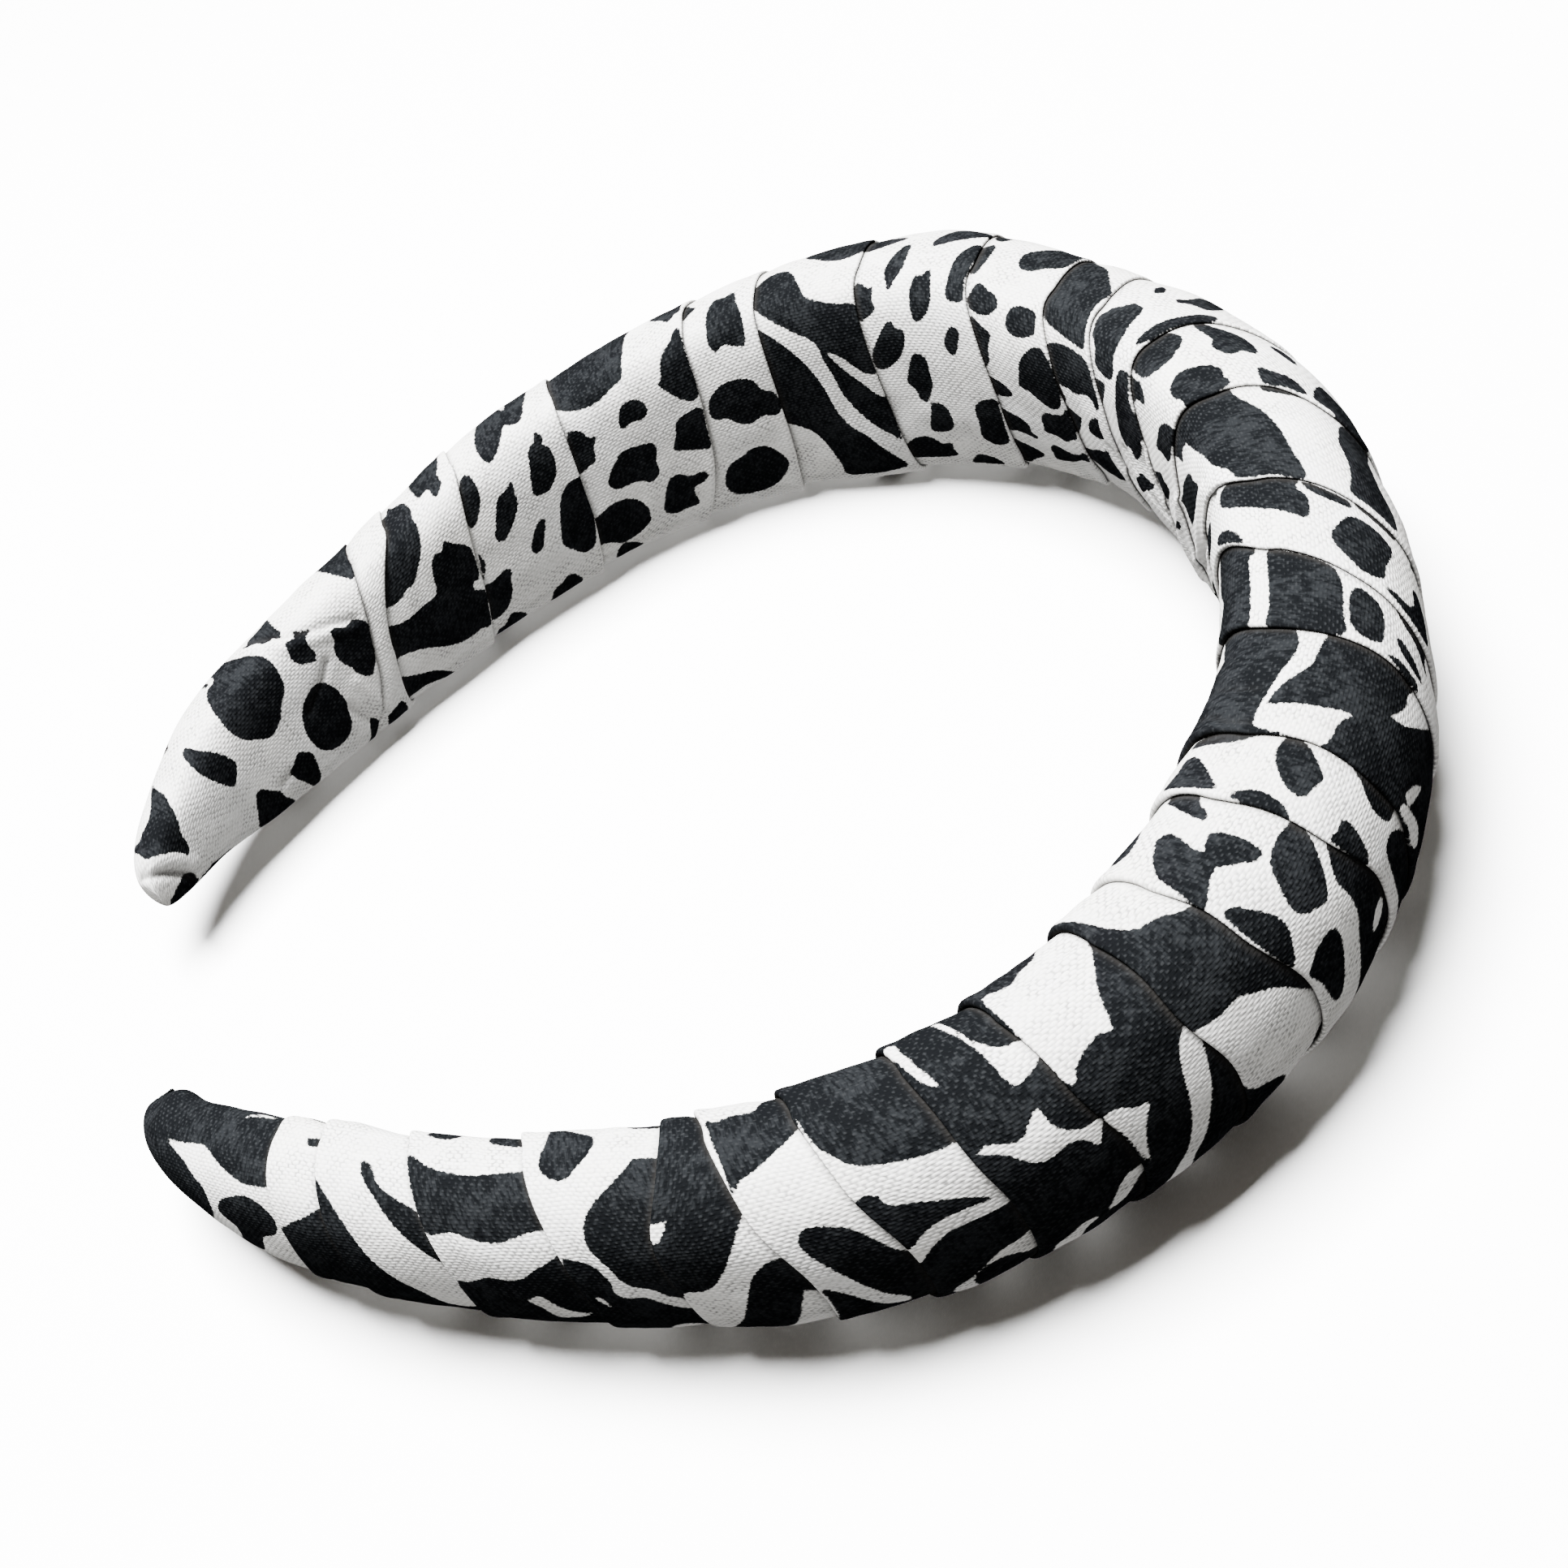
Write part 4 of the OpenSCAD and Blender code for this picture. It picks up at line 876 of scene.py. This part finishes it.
def smooth_outline(points):
    """A closed smooth curve through the points."""
    p = np.array(points, float)
    n = len(p)
    out = []
    for i in range(n):
        a, b, c, d = p[(i - 1) % n], p[i], p[(i + 1) % n], p[(i + 2) % n]
        for t in (0, 0.25, 0.5, 0.75):
            out.append(0.5 * (2 * b + (c - a) * t + (2 * a - 5 * b + 4 * c - d) * t * t
                              + (3 * b - a - 3 * c + d) * t ** 3))
    return np.array(out)


def outline_distance(q, line):
    """Distance of points q (n, 2) from a closed outline, minus inside."""
    best = np.full(len(q), np.inf)
    inside = np.zeros(len(q), bool)
    for a, b in zip(line, np.roll(line, -1, 0)):
        e = b - a
        w = q - a
        t = np.clip((w @ e) / (e @ e + 1e-12), 0, 1)
        best = np.minimum(best, ((w - t[:, None] * e) ** 2).sum(1))
        cross = (a[1] <= q[:, 1]) != (b[1] <= q[:, 1])
        if e[1] != 0:
            inside ^= cross & (q[:, 0] < a[0] + (q[:, 1] - a[1]) * e[0] / e[1])
    return np.sqrt(best) * np.where(inside, -1, 1)


# The side of the band that the chart covers: the lowest and highest place round the section, by place along
WINDOW = np.array([
    # along, low, high
    [-190, -6, 18],
    [-150, -5, 25],
    [-110, -5, 30],
    [-80, -6, 34],
    [-55, -8, 38],
    [-40, -11, 38],
    [-28, -12, 34],
    [-12, -21, 24],
    [0, -25, 21],
    [12, -31, 15],
    [30, -31, 12],
    [45, -36, 10],
    [80, -35, 8],
    [110, -31, 6],
    [146, -26, 5],
    [165, -24, 5],
    [190, -14, 5],
])

# Marks of the other side, by ground: mm from one to the next, least and most half width, and least and most
# half length, as a share of the half width for spots and in mm for stripes
OTHER_MARKS = {"pale": [7.6, 2.0, 3.2, 1.1, 1.9], "dark": [8.6, 0.8, 1.7, 3.4, 5.2]}
OTHER_POINTS = 12


def other_side_marks(seed, ground, s0, s1):
    """Marks of the same print for the side that the chart leaves out, from its high edge round to its low
    one."""
    rng = np.random.default_rng(seed)
    step, thin, thick, short, long = OTHER_MARKS[ground]
    ends = np.linspace(0, 2 * math.pi, OTHER_POINTS + 1)[:-1]
    marks = []
    for i, s in enumerate(np.arange(s0 - 2, s1 + 2, step * 0.9)):
        low, high = np.interp(s, WINDOW[:, 0], WINDOW[:, 1]), np.interp(s, WINDOW[:, 0], WINDOW[:, 2])
        end = low + np.interp(s, S_GRID, GIRTH)
        for v in np.arange(high + 7 + (i % 2) * step / 2, end - 5, step):
            c = np.array([s, v]) + rng.uniform(-1.4, 1.4, 2)
            wide = rng.uniform(thin, thick)
            far = rng.uniform(short, long) * (wide if ground == "pale" else 1)
            way = rng.normal(1.5, 0.5)
            r = 1 + rng.uniform(-0.26, 0.26, OTHER_POINTS)
            x, y = far * r * np.cos(ends), wide * r * np.sin(ends)
            along = x * math.cos(way) - y * math.sin(way)
            about = x * math.sin(way) + y * math.cos(way)
            marks.append(c + np.stack([along, about], -1))
    return marks


def apply_mark(d, q, points, dark):
    """Draws one mark into the distances d of points q."""
    line = smooth_outline(points)
    low, high = line.min(0) - PRINT_CLAMP, line.max(0) + PRINT_CLAMP
    near = ((q > low) & (q < high)).all(1)
    if near.any():
        e = outline_distance(q[near], line)
        d[near] = np.minimum(d[near], e) if dark else np.maximum(d[near], -e)


def print_field(piece, ground, s, v):
    """Distance in mm from the nearest edge of the print, minus where the cloth is dark."""
    q = np.stack([s.ravel(), v.ravel()], -1)
    d = np.full(len(q), PRINT_CLAMP if ground == "pale" else -PRINT_CLAMP)
    for tone, points in SPOTS[piece]:
        apply_mark(d, q, points, tone == "dark")
    beyond = np.where(q[:, 1] < 0, q[:, 1] + np.interp(q[:, 0], S_GRID, GIRTH), q[:, 1])
    other = np.stack([q[:, 0], beyond], -1)
    seed = {"near": 90, "far": 91}.get(piece, piece)
    for points in other_side_marks(seed, ground, q[:, 0].min(), q[:, 0].max()):
        apply_mark(d, other, points, ground == "pale")
    return np.clip(d, -PRINT_CLAMP, PRINT_CLAMP).reshape(s.shape)


# ---- meshes ----

def add_mesh(name, verts, faces, loops_uv, values):
    mesh = bpy.data.meshes.new(name)
    mesh.vertices.add(len(verts))
    mesh.vertices.foreach_set("co", (verts * MM).astype(np.float32).ravel())
    sizes = np.array([len(f) for f in faces])
    flat = np.concatenate([np.asarray(f) for f in faces])
    mesh.loops.add(len(flat))
    mesh.loops.foreach_set("vertex_index", flat.astype(np.int32))
    mesh.polygons.add(len(sizes))
    starts = np.concatenate([[0], np.cumsum(sizes)[:-1]])
    mesh.polygons.foreach_set("loop_start", starts.astype(np.int32))
    mesh.polygons.foreach_set("use_smooth", np.ones(len(sizes), bool))
    mesh.update(calc_edges=True)
    mesh.validate()
    mesh.uv_layers.new(name="weave").data.foreach_set("uv", loops_uv.astype(np.float32).ravel())
    for label, column in values.items():
        cells = mesh.attributes.new(label, "FLOAT", "POINT").data
        cells.foreach_set("value", column.astype(np.float32).ravel())
    obj = bpy.data.objects.new(name, mesh)
    bpy.context.scene.collection.objects.link(obj)
    return obj


def ring_mesh(name, points, uv, values, closed):
    """A mesh of m rings of n points, (m, n, 3). Closed joins the last ring to the first, and else both ends
    get a fan. uv (m, n + 1, 2) runs past the seam, and values are named columns (m, n)."""
    m, n = points.shape[:2]
    rows = m if closed else m - 1
    i, j = np.meshgrid(np.arange(rows), np.arange(n), indexing="ij")
    i2, j2 = (i + 1) % m, (j + 1) % n
    quads = np.stack([i * n + j, i * n + j2, i2 * n + j2, i2 * n + j], -1).reshape(-1, 4)
    loops = np.stack([uv[i, j], uv[i, j + 1], uv[i2, j + 1], uv[i2, j]], 2).reshape(-1, 2)
    verts = points.reshape(-1, 3)
    corners = verts[quads]
    volume = sum((np.cross(corners[:, 0], corners[:, t]) * corners[:, t + 1]).sum() for t in (1, 2))
    vals = {label: column.ravel() for label, column in values.items()}
    faces = list(quads)
    if not closed:
        for ring, back in ((0, True), (m - 1, False)):
            mid = len(verts)
            verts = np.concatenate([verts, points[ring].mean(0)[None]])
            vals = {label: np.append(vals[label], column[ring].mean()) for label, column in values.items()}
            c = uv[ring, :-1].mean(0)
            pairs = [(t + 1, t) if back else (t, t + 1) for t in range(n)]
            faces += [[mid, ring * n + p % n, ring * n + q % n] for p, q in pairs]
            loops = np.concatenate([loops] + [[c, uv[ring, p], uv[ring, q]] for p, q in pairs])
    if volume < 0:
        ends = np.cumsum([len(f) for f in faces])
        loops = np.concatenate([loops[e - len(f):e][::-1] for e, f in zip(ends, faces)])
        faces = [f[::-1] for f in faces]
    return add_mesh(name, verts, faces, loops, vals)


def turn_piece(k):
    """Wrap turn k: its outer face from its hem to under the next, its inner face back, and the hem's fold."""
    s_mid = float(np.mean(hem(k, np.arange(360)) + hem(k + 1, np.arange(360))) / 2)
    ang = even_angles(s_mid, STEP)
    a = ang[None, :-1]
    h0, h1 = hem(k, a), hem(k + 1, a)
    width = float(np.mean(h1 - h0))
    lap = max(LAP, LEAST_FLAT / width - 1)
    cols = max(int(width / STEP), 4)

    def base(u, x):
        dip = TUCK_DIP * np.maximum(x - (h1 - h0), 0)
        return TOP_AT_HEM + (TOP_TUCKED - TOP_AT_HEM) * np.minimum(u, 1) - dip

    # the outer face, from the hem to the end of the lap
    u = np.concatenate([np.linspace(0, 1, cols + 1), 1 + lap * LAP_OUTSIDE])[:, None]
    x = u * (h1 - h0)
    s = h0 + x
    v = round_at(s, np.broadcast_to(a, s.shape))
    bead = BEAD * bell(x, 0.5, 0.5) - BEAD * bell(x, 1.9, 0.8)
    lift = hem_stand(k, a) * fade(x, STAND_REACH) ** 2
    # the creases fade out under the next hem, and the puffs are uneven round the turn
    free = np.clip(1.15 - u, 0, 0.3) / 0.3
    swell = 0.55 + 0.45 * noise(np.stack([np.full(v.shape, 31.0 * k), v * 0.12, 0 * v], -1), 1.0, 5)
    puff = PUFF * np.sin(math.pi * np.clip(u, 0, 1)) * swell
    off = base(u, x) + shared_relief(s, a) + bead + lift + own_relief(k, x, v) * free + puff

    # the inner face, back to the hem
    u_in = np.concatenate([1 + lap * LAP_INSIDE, TURN_INSIDE])[:, None]
    x_in = u_in * (h1 - h0)
    s_in = h0 + x_in
    off_in = base(u_in, x_in) - THICK + shared_relief(s_in, a)

    # the hem's fold, from the inner face up to the outer one
    turn = np.radians(np.linspace(-90, 90, FOLD_STEPS + 1)[1:-1])[:, None]
    half = (off[0] - off_in[-1]) / 2
    s_fold = s[0] - FOLD_FULLNESS * half * np.cos(turn)
    off_fold = (off[0] + off_in[-1]) / 2 + half * np.sin(turn)

    S = np.concatenate([s, s_in, s_fold])
    pts = skin(S, a, np.concatenate([off, off_in, off_fold]), HOME)
    pts[..., 2] = np.maximum(pts[..., 2], CLOTH_FLOOR)
    S1 = np.concatenate([S, S[:, :1]], 1)
    V1 = round_at(S1, np.broadcast_to(ang[None], S1.shape))
    uv = np.stack([S1 - np.append(h0, h0[:, :1], 1), V1], -1)
    # painted shade: darker beside the next hem, on the inner face and under the hem's fold, and down in the
    # folds
    tucked = np.concatenate([bell(np.maximum(h1 - s, 0), 0, TUCK_SHADE), np.ones(s_in.shape),
                             np.clip(0.1 - 1.1 * np.sin(turn), 0, 1) + 0 * s_fold])
    values = {"print_edge": print_field(k + 1, HEMS[k][TONE], S, V1[:, :-1]),
              "tucked": np.maximum(tucked, fold_lines(S, a)[1])}
    piece = ring_mesh("turn_%02d" % (k + 1), pts, uv, values, True)
    return piece, (width * (1 + lap) * MM, float(np.interp(s_mid, S_GRID, GIRTH)) * MM)


def cover_piece(side):
    """The near cover for side -1, the far cover for side 1: a closed shell, from its tip to its open edge
    outside and back to the tip inside."""
    near = side < 0
    ang = even_angles(NEAR_EVEN_AT if near else FAR_EVEN_AT, STEP)
    a = ang[None, :-1]
    tip_s = side * (HALF - TIP_ROUND * (1 - np.cos(np.radians(np.linspace(90, 0, TIP_RINGS))))[:, None])
    edge = hem(0 if near else FAR_EDGE, a)
    first = edge + LAP * (hem(1, a) - edge) if near else edge
    s_body = first + (tip_s[0] - first) * np.linspace(0, 1, NEAR_RINGS if near else FAR_RINGS)[:, None]
    if near:
        off_body = TOP_TUCKED - TOP_TUCKED * np.clip((edge + 1.0 - s_body) / NEAR_SINK, 0, 1)
    else:
        off_body = TOP_AT_HEM * (1 - np.clip((s_body - edge) / FAR_LEVEL, 0, 1))
    s_out = np.concatenate([s_body, tip_s[1:] + 0 * a])
    off_out = np.concatenate([off_body, 0 * s_out[len(s_body):]]) + shared_relief(s_out, a)
    outer = skin(s_out, a, off_out, HOME)
    s_in = s_out[::-LINING_SKIPS]
    inner = skin(s_in, a, off_out[::-LINING_SKIPS] - THICK, HOME)
    # the closed end: the outer wall draws in past its last ring, and the inner wall before its first
    shares = CAP_SHARES[:, None, None]
    c = outer[-1].mean(0)
    way = c - outer[-2].mean(0)
    way = way / np.linalg.norm(way)
    bulge = NEAR_BULGE if near else FAR_BULGE
    cap = c + shares * (outer[-1] - c)[None] + way * bulge * np.sqrt(1 - shares ** 2)
    middle = inner[0].mean(0)
    depth = THICK - 0.1
    inner_cap = middle - way * depth + shares * (inner[0] - middle)[None]
    ease = np.clip(depth * (1 - np.arange(len(inner)) / LINING_EASE), 0, None)
    inner = inner - way * ease[:, None, None]
    pts = np.concatenate([cap[::-1], outer[::-1], inner[::-1], inner_cap])
    pts[..., 2] = np.maximum(pts[..., 2], CLOTH_FLOOR)
    ends = len(CAP_SHARES)
    S = np.concatenate([s_out[[-1] * ends], s_out[::-1], s_in[::-1], s_in[[0] * ends]])
    S1 = np.concatenate([S, S[:, :1]], 1)
    V1 = round_at(S1, np.broadcast_to(ang[None], S1.shape))
    # painted shade where the near cover goes in under the first hem, and down in the folds
    painted_shade_under_hem = bell(np.maximum(hem(0, a) - S, 0), 0, TUCK_SHADE) if near else 0 * S
    values = {"print_edge": print_field("near" if near else "far", "dark" if near else "pale", S, V1[:, :-1]),
              "tucked": np.maximum(painted_shade_under_hem, fold_lines(S, a)[1])}
    return ring_mesh("near_cover" if near else "far_cover", pts, np.stack([S1, V1], -1), values, False)


def core_piece():
    s = np.linspace(2.2 - HALF, HALF - 2.2, CORE_RINGS)[:, None]
    ang = np.linspace(SEAM_AT, SEAM_AT + 360, CORE_SIDES + 1)[None]
    a = ang[:, :-1]
    pts = skin(s, a, CORE_SKIN + shared_relief(s + 0 * a, a), HOME)
    pts[..., 2] = np.maximum(pts[..., 2], PAD_FLOOR)
    S1 = s + 0 * ang
    uv = np.stack([S1, round_at(S1, ang + 0 * s)], -1)
    return ring_mesh("core", pts, uv, {}, False)


# ---- materials ----

def new_material(name):
    mat = bpy.data.materials.new(name)
    mat.use_nodes = True
    tree = mat.node_tree
    tree.nodes.clear()
    out = tree.nodes.new("ShaderNodeOutputMaterial")
    shader = tree.nodes.new("ShaderNodeBsdfPrincipled")
    tree.links.new(shader.outputs[0], out.inputs[0])
    return mat, tree, shader


def math_node(tree, op, *terms):
    node = tree.nodes.new("ShaderNodeMath")
    node.operation = op
    for socket, x in zip(node.inputs, terms):
        if isinstance(x, (int, float)):
            socket.default_value = x
        else:
            tree.links.new(x, socket)
    return node.outputs[0]


def noise_node(tree, vector, scale, detail=2.0, rough=0.5):
    node = tree.nodes.new("ShaderNodeTexNoise")
    tree.links.new(vector, node.inputs["Vector"])
    node.inputs["Scale"].default_value = scale
    node.inputs["Detail"].default_value = detail
    node.inputs["Roughness"].default_value = rough
    return node.outputs[0]


def stretch(tree, vector, x, y):
    node = tree.nodes.new("ShaderNodeMapping")
    tree.links.new(vector, node.inputs["Vector"])
    node.inputs["Scale"].default_value = (x, y, 1.0)
    return node.outputs[0]


def map_range(tree, value, a, b, c, d, smooth=True):
    node = tree.nodes.new("ShaderNodeMapRange")
    node.interpolation_type = "SMOOTHSTEP" if smooth else "LINEAR"
    tree.links.new(value, node.inputs[0])
    for i, x in zip((1, 2, 3, 4), (a, b, c, d)):
        node.inputs[i].default_value = x
    return node.outputs[0]


def mix_colors(tree, share, a, b):
    node = tree.nodes.new("ShaderNodeMix")
    node.data_type = "RGBA"
    tree.links.new(share, node.inputs[0])
    for i, x in ((6, a), (7, b)):
        if isinstance(x, tuple):
            node.inputs[i].default_value = (*x, 1)
        else:
            tree.links.new(x, node.inputs[i])
    return node.outputs[2]


def mesh_value(tree, name):
    node = tree.nodes.new("ShaderNodeAttribute")
    node.attribute_type = "GEOMETRY"
    node.attribute_name = name
    return node.outputs["Fac"]


def add_bump(tree, shader, height, strength, distance):
    bump = tree.nodes.new("ShaderNodeBump")
    bump.inputs["Strength"].default_value = strength
    bump.inputs["Distance"].default_value = distance
    tree.links.new(height, bump.inputs["Height"])
    tree.links.new(bump.outputs[0], shader.inputs["Normal"])


# From one thread to the next, in mm
THREAD = 0.45
INK, INK_WORN, INK_SPECK = (0.0019, 0.0021, 0.0024), (0.0054, 0.0059, 0.0065), (0.0077, 0.0082, 0.0088)
WARM_WHITE, COOL_WHITE, SLUB_WHITE = (0.51, 0.497, 0.468), (0.505, 0.51, 0.516), (0.4, 0.395, 0.384)
# painted shade between the threads
THREAD_GAP_SHADE = (0.17, 0.168, 0.165)
# painted shade, for under the hems and down in folds
TUCKED_SHADE = (0.012, 0.011, 0.01)


def cloth_material():
    mat, tree, shader = new_material("printed_cotton")
    uv = tree.nodes.new("ShaderNodeUVMap")
    uv.uv_map = "weave"
    cloth = uv.outputs[0]
    sep = tree.nodes.new("ShaderNodeSeparateXYZ")
    tree.links.new(cloth, sep.inputs[0])
    coord = tree.nodes.new("ShaderNodeTexCoord").outputs["Object"]
    # plain weave: threads over and under in turn, with uneven threads
    wobble = math_node(tree, "MULTIPLY_ADD", noise_node(tree, cloth, 0.3, 1.0), 0.7, -0.35)
    across, along = (math_node(tree, "SINE", math_node(tree, "MULTIPLY", math_node(tree, op, x, wobble),
                                                        math.pi / THREAD))
                     for op, x in (("ADD", sep.outputs[0]), ("SUBTRACT", sep.outputs[1])))
    over = math_node(tree, "MULTIPLY_ADD", math_node(tree, "MULTIPLY", across, along), 0.5, 0.5)
    lines = math_node(tree, "MULTIPLY", math_node(tree, "ABSOLUTE", along), 0.35)
    threads = math_node(tree, "MULTIPLY_ADD", over, 0.65, lines)
    grain = noise_node(tree, cloth, 1.9, 1.0, 0.5)
    uneven = math_node(tree, "MULTIPLY_ADD", grain, 0.6, math_node(tree, "SUBTRACT", threads, 0.3))
    # ragged print edge
    rag = math_node(tree, "SUBTRACT", noise_node(tree, cloth, 2.4, 2.0, 0.6), 0.5)
    shifted = math_node(tree, "MULTIPLY_ADD", rag, 0.6, mesh_value(tree, "print_edge"))
    inked = map_range(tree, shifted, -0.09, 0.09, 1.0, 0.0)
    # ink: charcoal, worn in streaks and patches, thinner on the raised threads
    mottle = noise_node(tree, coord, 620.0, 3.0, 0.65)
    streak = noise_node(tree, stretch(tree, cloth, 2.3, 0.8), 1.0, 2.0, 0.6)
    patches = noise_node(tree, coord, 190.0, 2.0)
    wear = math_node(tree, "MULTIPLY_ADD", streak, 0.55, math_node(tree, "MULTIPLY", mottle, 0.25))
    wear = math_node(tree, "MULTIPLY_ADD", patches, 0.45, wear)
    dark = mix_colors(tree, map_range(tree, wear, 0.56, 0.74, 0.0, 1.0), INK, INK_WORN)
    raised = math_node(tree, "MULTIPLY", uneven, math_node(tree, "ADD", streak, mottle))
    dark = mix_colors(tree, map_range(tree, raised, 0.62, 1.15, 0.0, 1.0), dark, INK_SPECK)
    # ground: off-white with slubs, with painted shade between the threads
    pale = mix_colors(tree, noise_node(tree, coord, 90.0, 2.0), WARM_WHITE, COOL_WHITE)
    slub = noise_node(tree, stretch(tree, cloth, 0.22, 2.0), 1.0, 2.0)
    pale = mix_colors(tree, map_range(tree, slub, 0.35, 0.7, 0.0, 0.45), pale, SLUB_WHITE)
    cloud = map_range(tree, noise_node(tree, coord, 260.0, 2.0), 0.38, 0.6, 0.4, 1.0)
    gap_shade = math_node(tree, "MULTIPLY", map_range(tree, uneven, 0.2, 0.6, 1.0, 0.0), cloud)
    pale = mix_colors(tree, gap_shade, pale, THREAD_GAP_SHADE)
    color = mix_colors(tree, inked, pale, dark)
    # painted shade under the next hem and down in folds
    shade = math_node(tree, "MULTIPLY", mesh_value(tree, "tucked"), 0.7)
    tree.links.new(mix_colors(tree, shade, color, TUCKED_SHADE), shader.inputs["Base Color"])
    shader.inputs["Roughness"].default_value = 0.9
    shader.inputs["Specular IOR Level"].default_value = 0.0
    fine = noise_node(tree, cloth, 1.6, 3.0, 0.6)
    add_bump(tree, shader, math_node(tree, "MULTIPLY_ADD", fine, 0.7, threads), 0.65, 0.00014)
    return mat


def pad_material():
    mat, tree, shader = new_material("pad_foam")
    coord = tree.nodes.new("ShaderNodeTexCoord").outputs["Object"]
    cells = noise_node(tree, coord, 900.0, 3.0, 0.6)
    foam = mix_colors(tree, cells, (0.62, 0.61, 0.59), (0.74, 0.73, 0.71))
    tree.links.new(foam, shader.inputs["Base Color"])
    shader.inputs["Roughness"].default_value = 0.95
    add_bump(tree, shader, cells, 0.5, 0.0002)
    return mat


COTTON = cloth_material()
FOAM = pad_material()

for k in range(TURNS):
    piece, flat = turn_piece(k)
    piece.data.materials.append(COTTON)
    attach(piece, "root")
    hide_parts("wrap_turn_%02d" % (k + 1))

for side, node in ((-1, "near_tip_cover"), (1, "far_tip_cover")):
    piece = cover_piece(side)
    piece.data.materials.append(COTTON)
    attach(piece, "root")
    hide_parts(node)

core = core_piece()
core.data.materials.append(FOAM)
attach(core, "root")
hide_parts("padded_core")


# ---- floor, camera, light ----

FLOOR_REACH = 1.0


def floor_piece():
    mesh = bpy.data.meshes.new("floor")
    corners = [(x * FLOOR_REACH, y * FLOOR_REACH, 0) for x, y in ((-1, -1), (1, -1), (1, 1), (-1, 1))]
    mesh.from_pydata(corners, [], [(0, 1, 2, 3)])
    obj = bpy.data.objects.new("floor", mesh)
    bpy.context.scene.collection.objects.link(obj)
    mat, _, shader = new_material("pale_floor")
    shader.inputs["Base Color"].default_value = (0.93, 0.93, 0.93, 1)
    shader.inputs["Roughness"].default_value = 0.8
    obj.data.materials.append(mat)
    # without bounced light the band's lower faces keep their shade
    obj.visible_diffuse = False


floor_piece()

# The camera's direction, its distance from the target in metres, and its lens in mm on a 36 mm frame
AZ, EL, ROLL = math.radians(9.413), math.radians(46.43), math.radians(-26.865)
DISTANCE = 0.31181
LENS = 58.07
TARGET = Vector((0.003795, -0.002541, 0.013985))
back = Vector((math.sin(AZ) * math.cos(EL), -math.cos(AZ) * math.cos(EL), math.sin(EL)))
right = Vector((math.cos(AZ), math.sin(AZ), 0))
up = back.cross(right)
rolled_right = right * math.cos(ROLL) + up * math.sin(ROLL)
rolled_up = -right * math.sin(ROLL) + up * math.cos(ROLL)
cam = bpy.data.cameras.new("camera")
cam.lens = LENS
cam.sensor_width = 36.0
cam.sensor_fit = "HORIZONTAL"
cam.clip_start = 0.01
camera = bpy.data.objects.new("camera", cam)
camera.matrix_world = (Matrix.Translation(TARGET + back * DISTANCE)
                       @ Matrix((rolled_right, rolled_up, back)).transposed().to_4x4())
bpy.context.scene.collection.objects.link(camera)
bpy.context.scene.camera = camera

# The key stands over the band, a little past its far side and to the left, as the shadows show
KEY_AWAY, KEY_LEFT, KEY_HEIGHT = 0.115, 0.12, 0.95
KEY_SIZE, KEY_WATTS = 0.48, 157.0
away = Vector((rolled_up.x, rolled_up.y, 0)).normalized()
side = Vector((rolled_right.x, rolled_right.y, 0)).normalized()
place = away * KEY_AWAY - side * KEY_LEFT + Vector((0, 0, KEY_HEIGHT))
data = bpy.data.lights.new("key", "AREA")
data.size = KEY_SIZE
data.energy = KEY_WATTS
key = bpy.data.objects.new("key", data)
key.location = place
key.rotation_euler = (-place).to_track_quat("-Z", "Y").to_euler()
bpy.context.scene.collection.objects.link(key)

# The sky: dim from the horizon up, bright from below in place of light from the floor
SKY_LOW, SKY_HIGH, SKY_UNDER = 0.02, 0.2, 1.8
# Behind the floor the studio is seen about as pale as the floor's far edge
BACKDROP = 2.6
world = bpy.data.worlds.new("studio")
world.use_nodes = True
sky = world.node_tree
height = sky.nodes.new("ShaderNodeSeparateXYZ")
sky.links.new(sky.nodes.new("ShaderNodeTexCoord").outputs["Generated"], height.inputs[0])
from_above = map_range(sky, height.outputs[2], 0.0, 1.0, SKY_LOW, SKY_HIGH, False)
from_below = map_range(sky, height.outputs[2], -0.1, 0.0, SKY_UNDER, 0.0, False)
below = map_range(sky, height.outputs[2], -0.1, 0.0, 1.0, 0.0, False)
background = sky.nodes["Background"]
sky.links.new(mix_colors(sky, below, (1.0, 0.9, 0.78), (1.0, 1.0, 0.985)), background.inputs[0])
seen = sky.nodes.new("ShaderNodeLightPath").outputs["Is Camera Ray"]
lit = math_node(sky, "MULTIPLY", math_node(sky, "ADD", from_above, from_below),
                math_node(sky, "SUBTRACT", 1.0, seen))
sky.links.new(math_node(sky, "MULTIPLY_ADD", seen, BACKDROP, lit), background.inputs[1])
bpy.context.scene.world = world
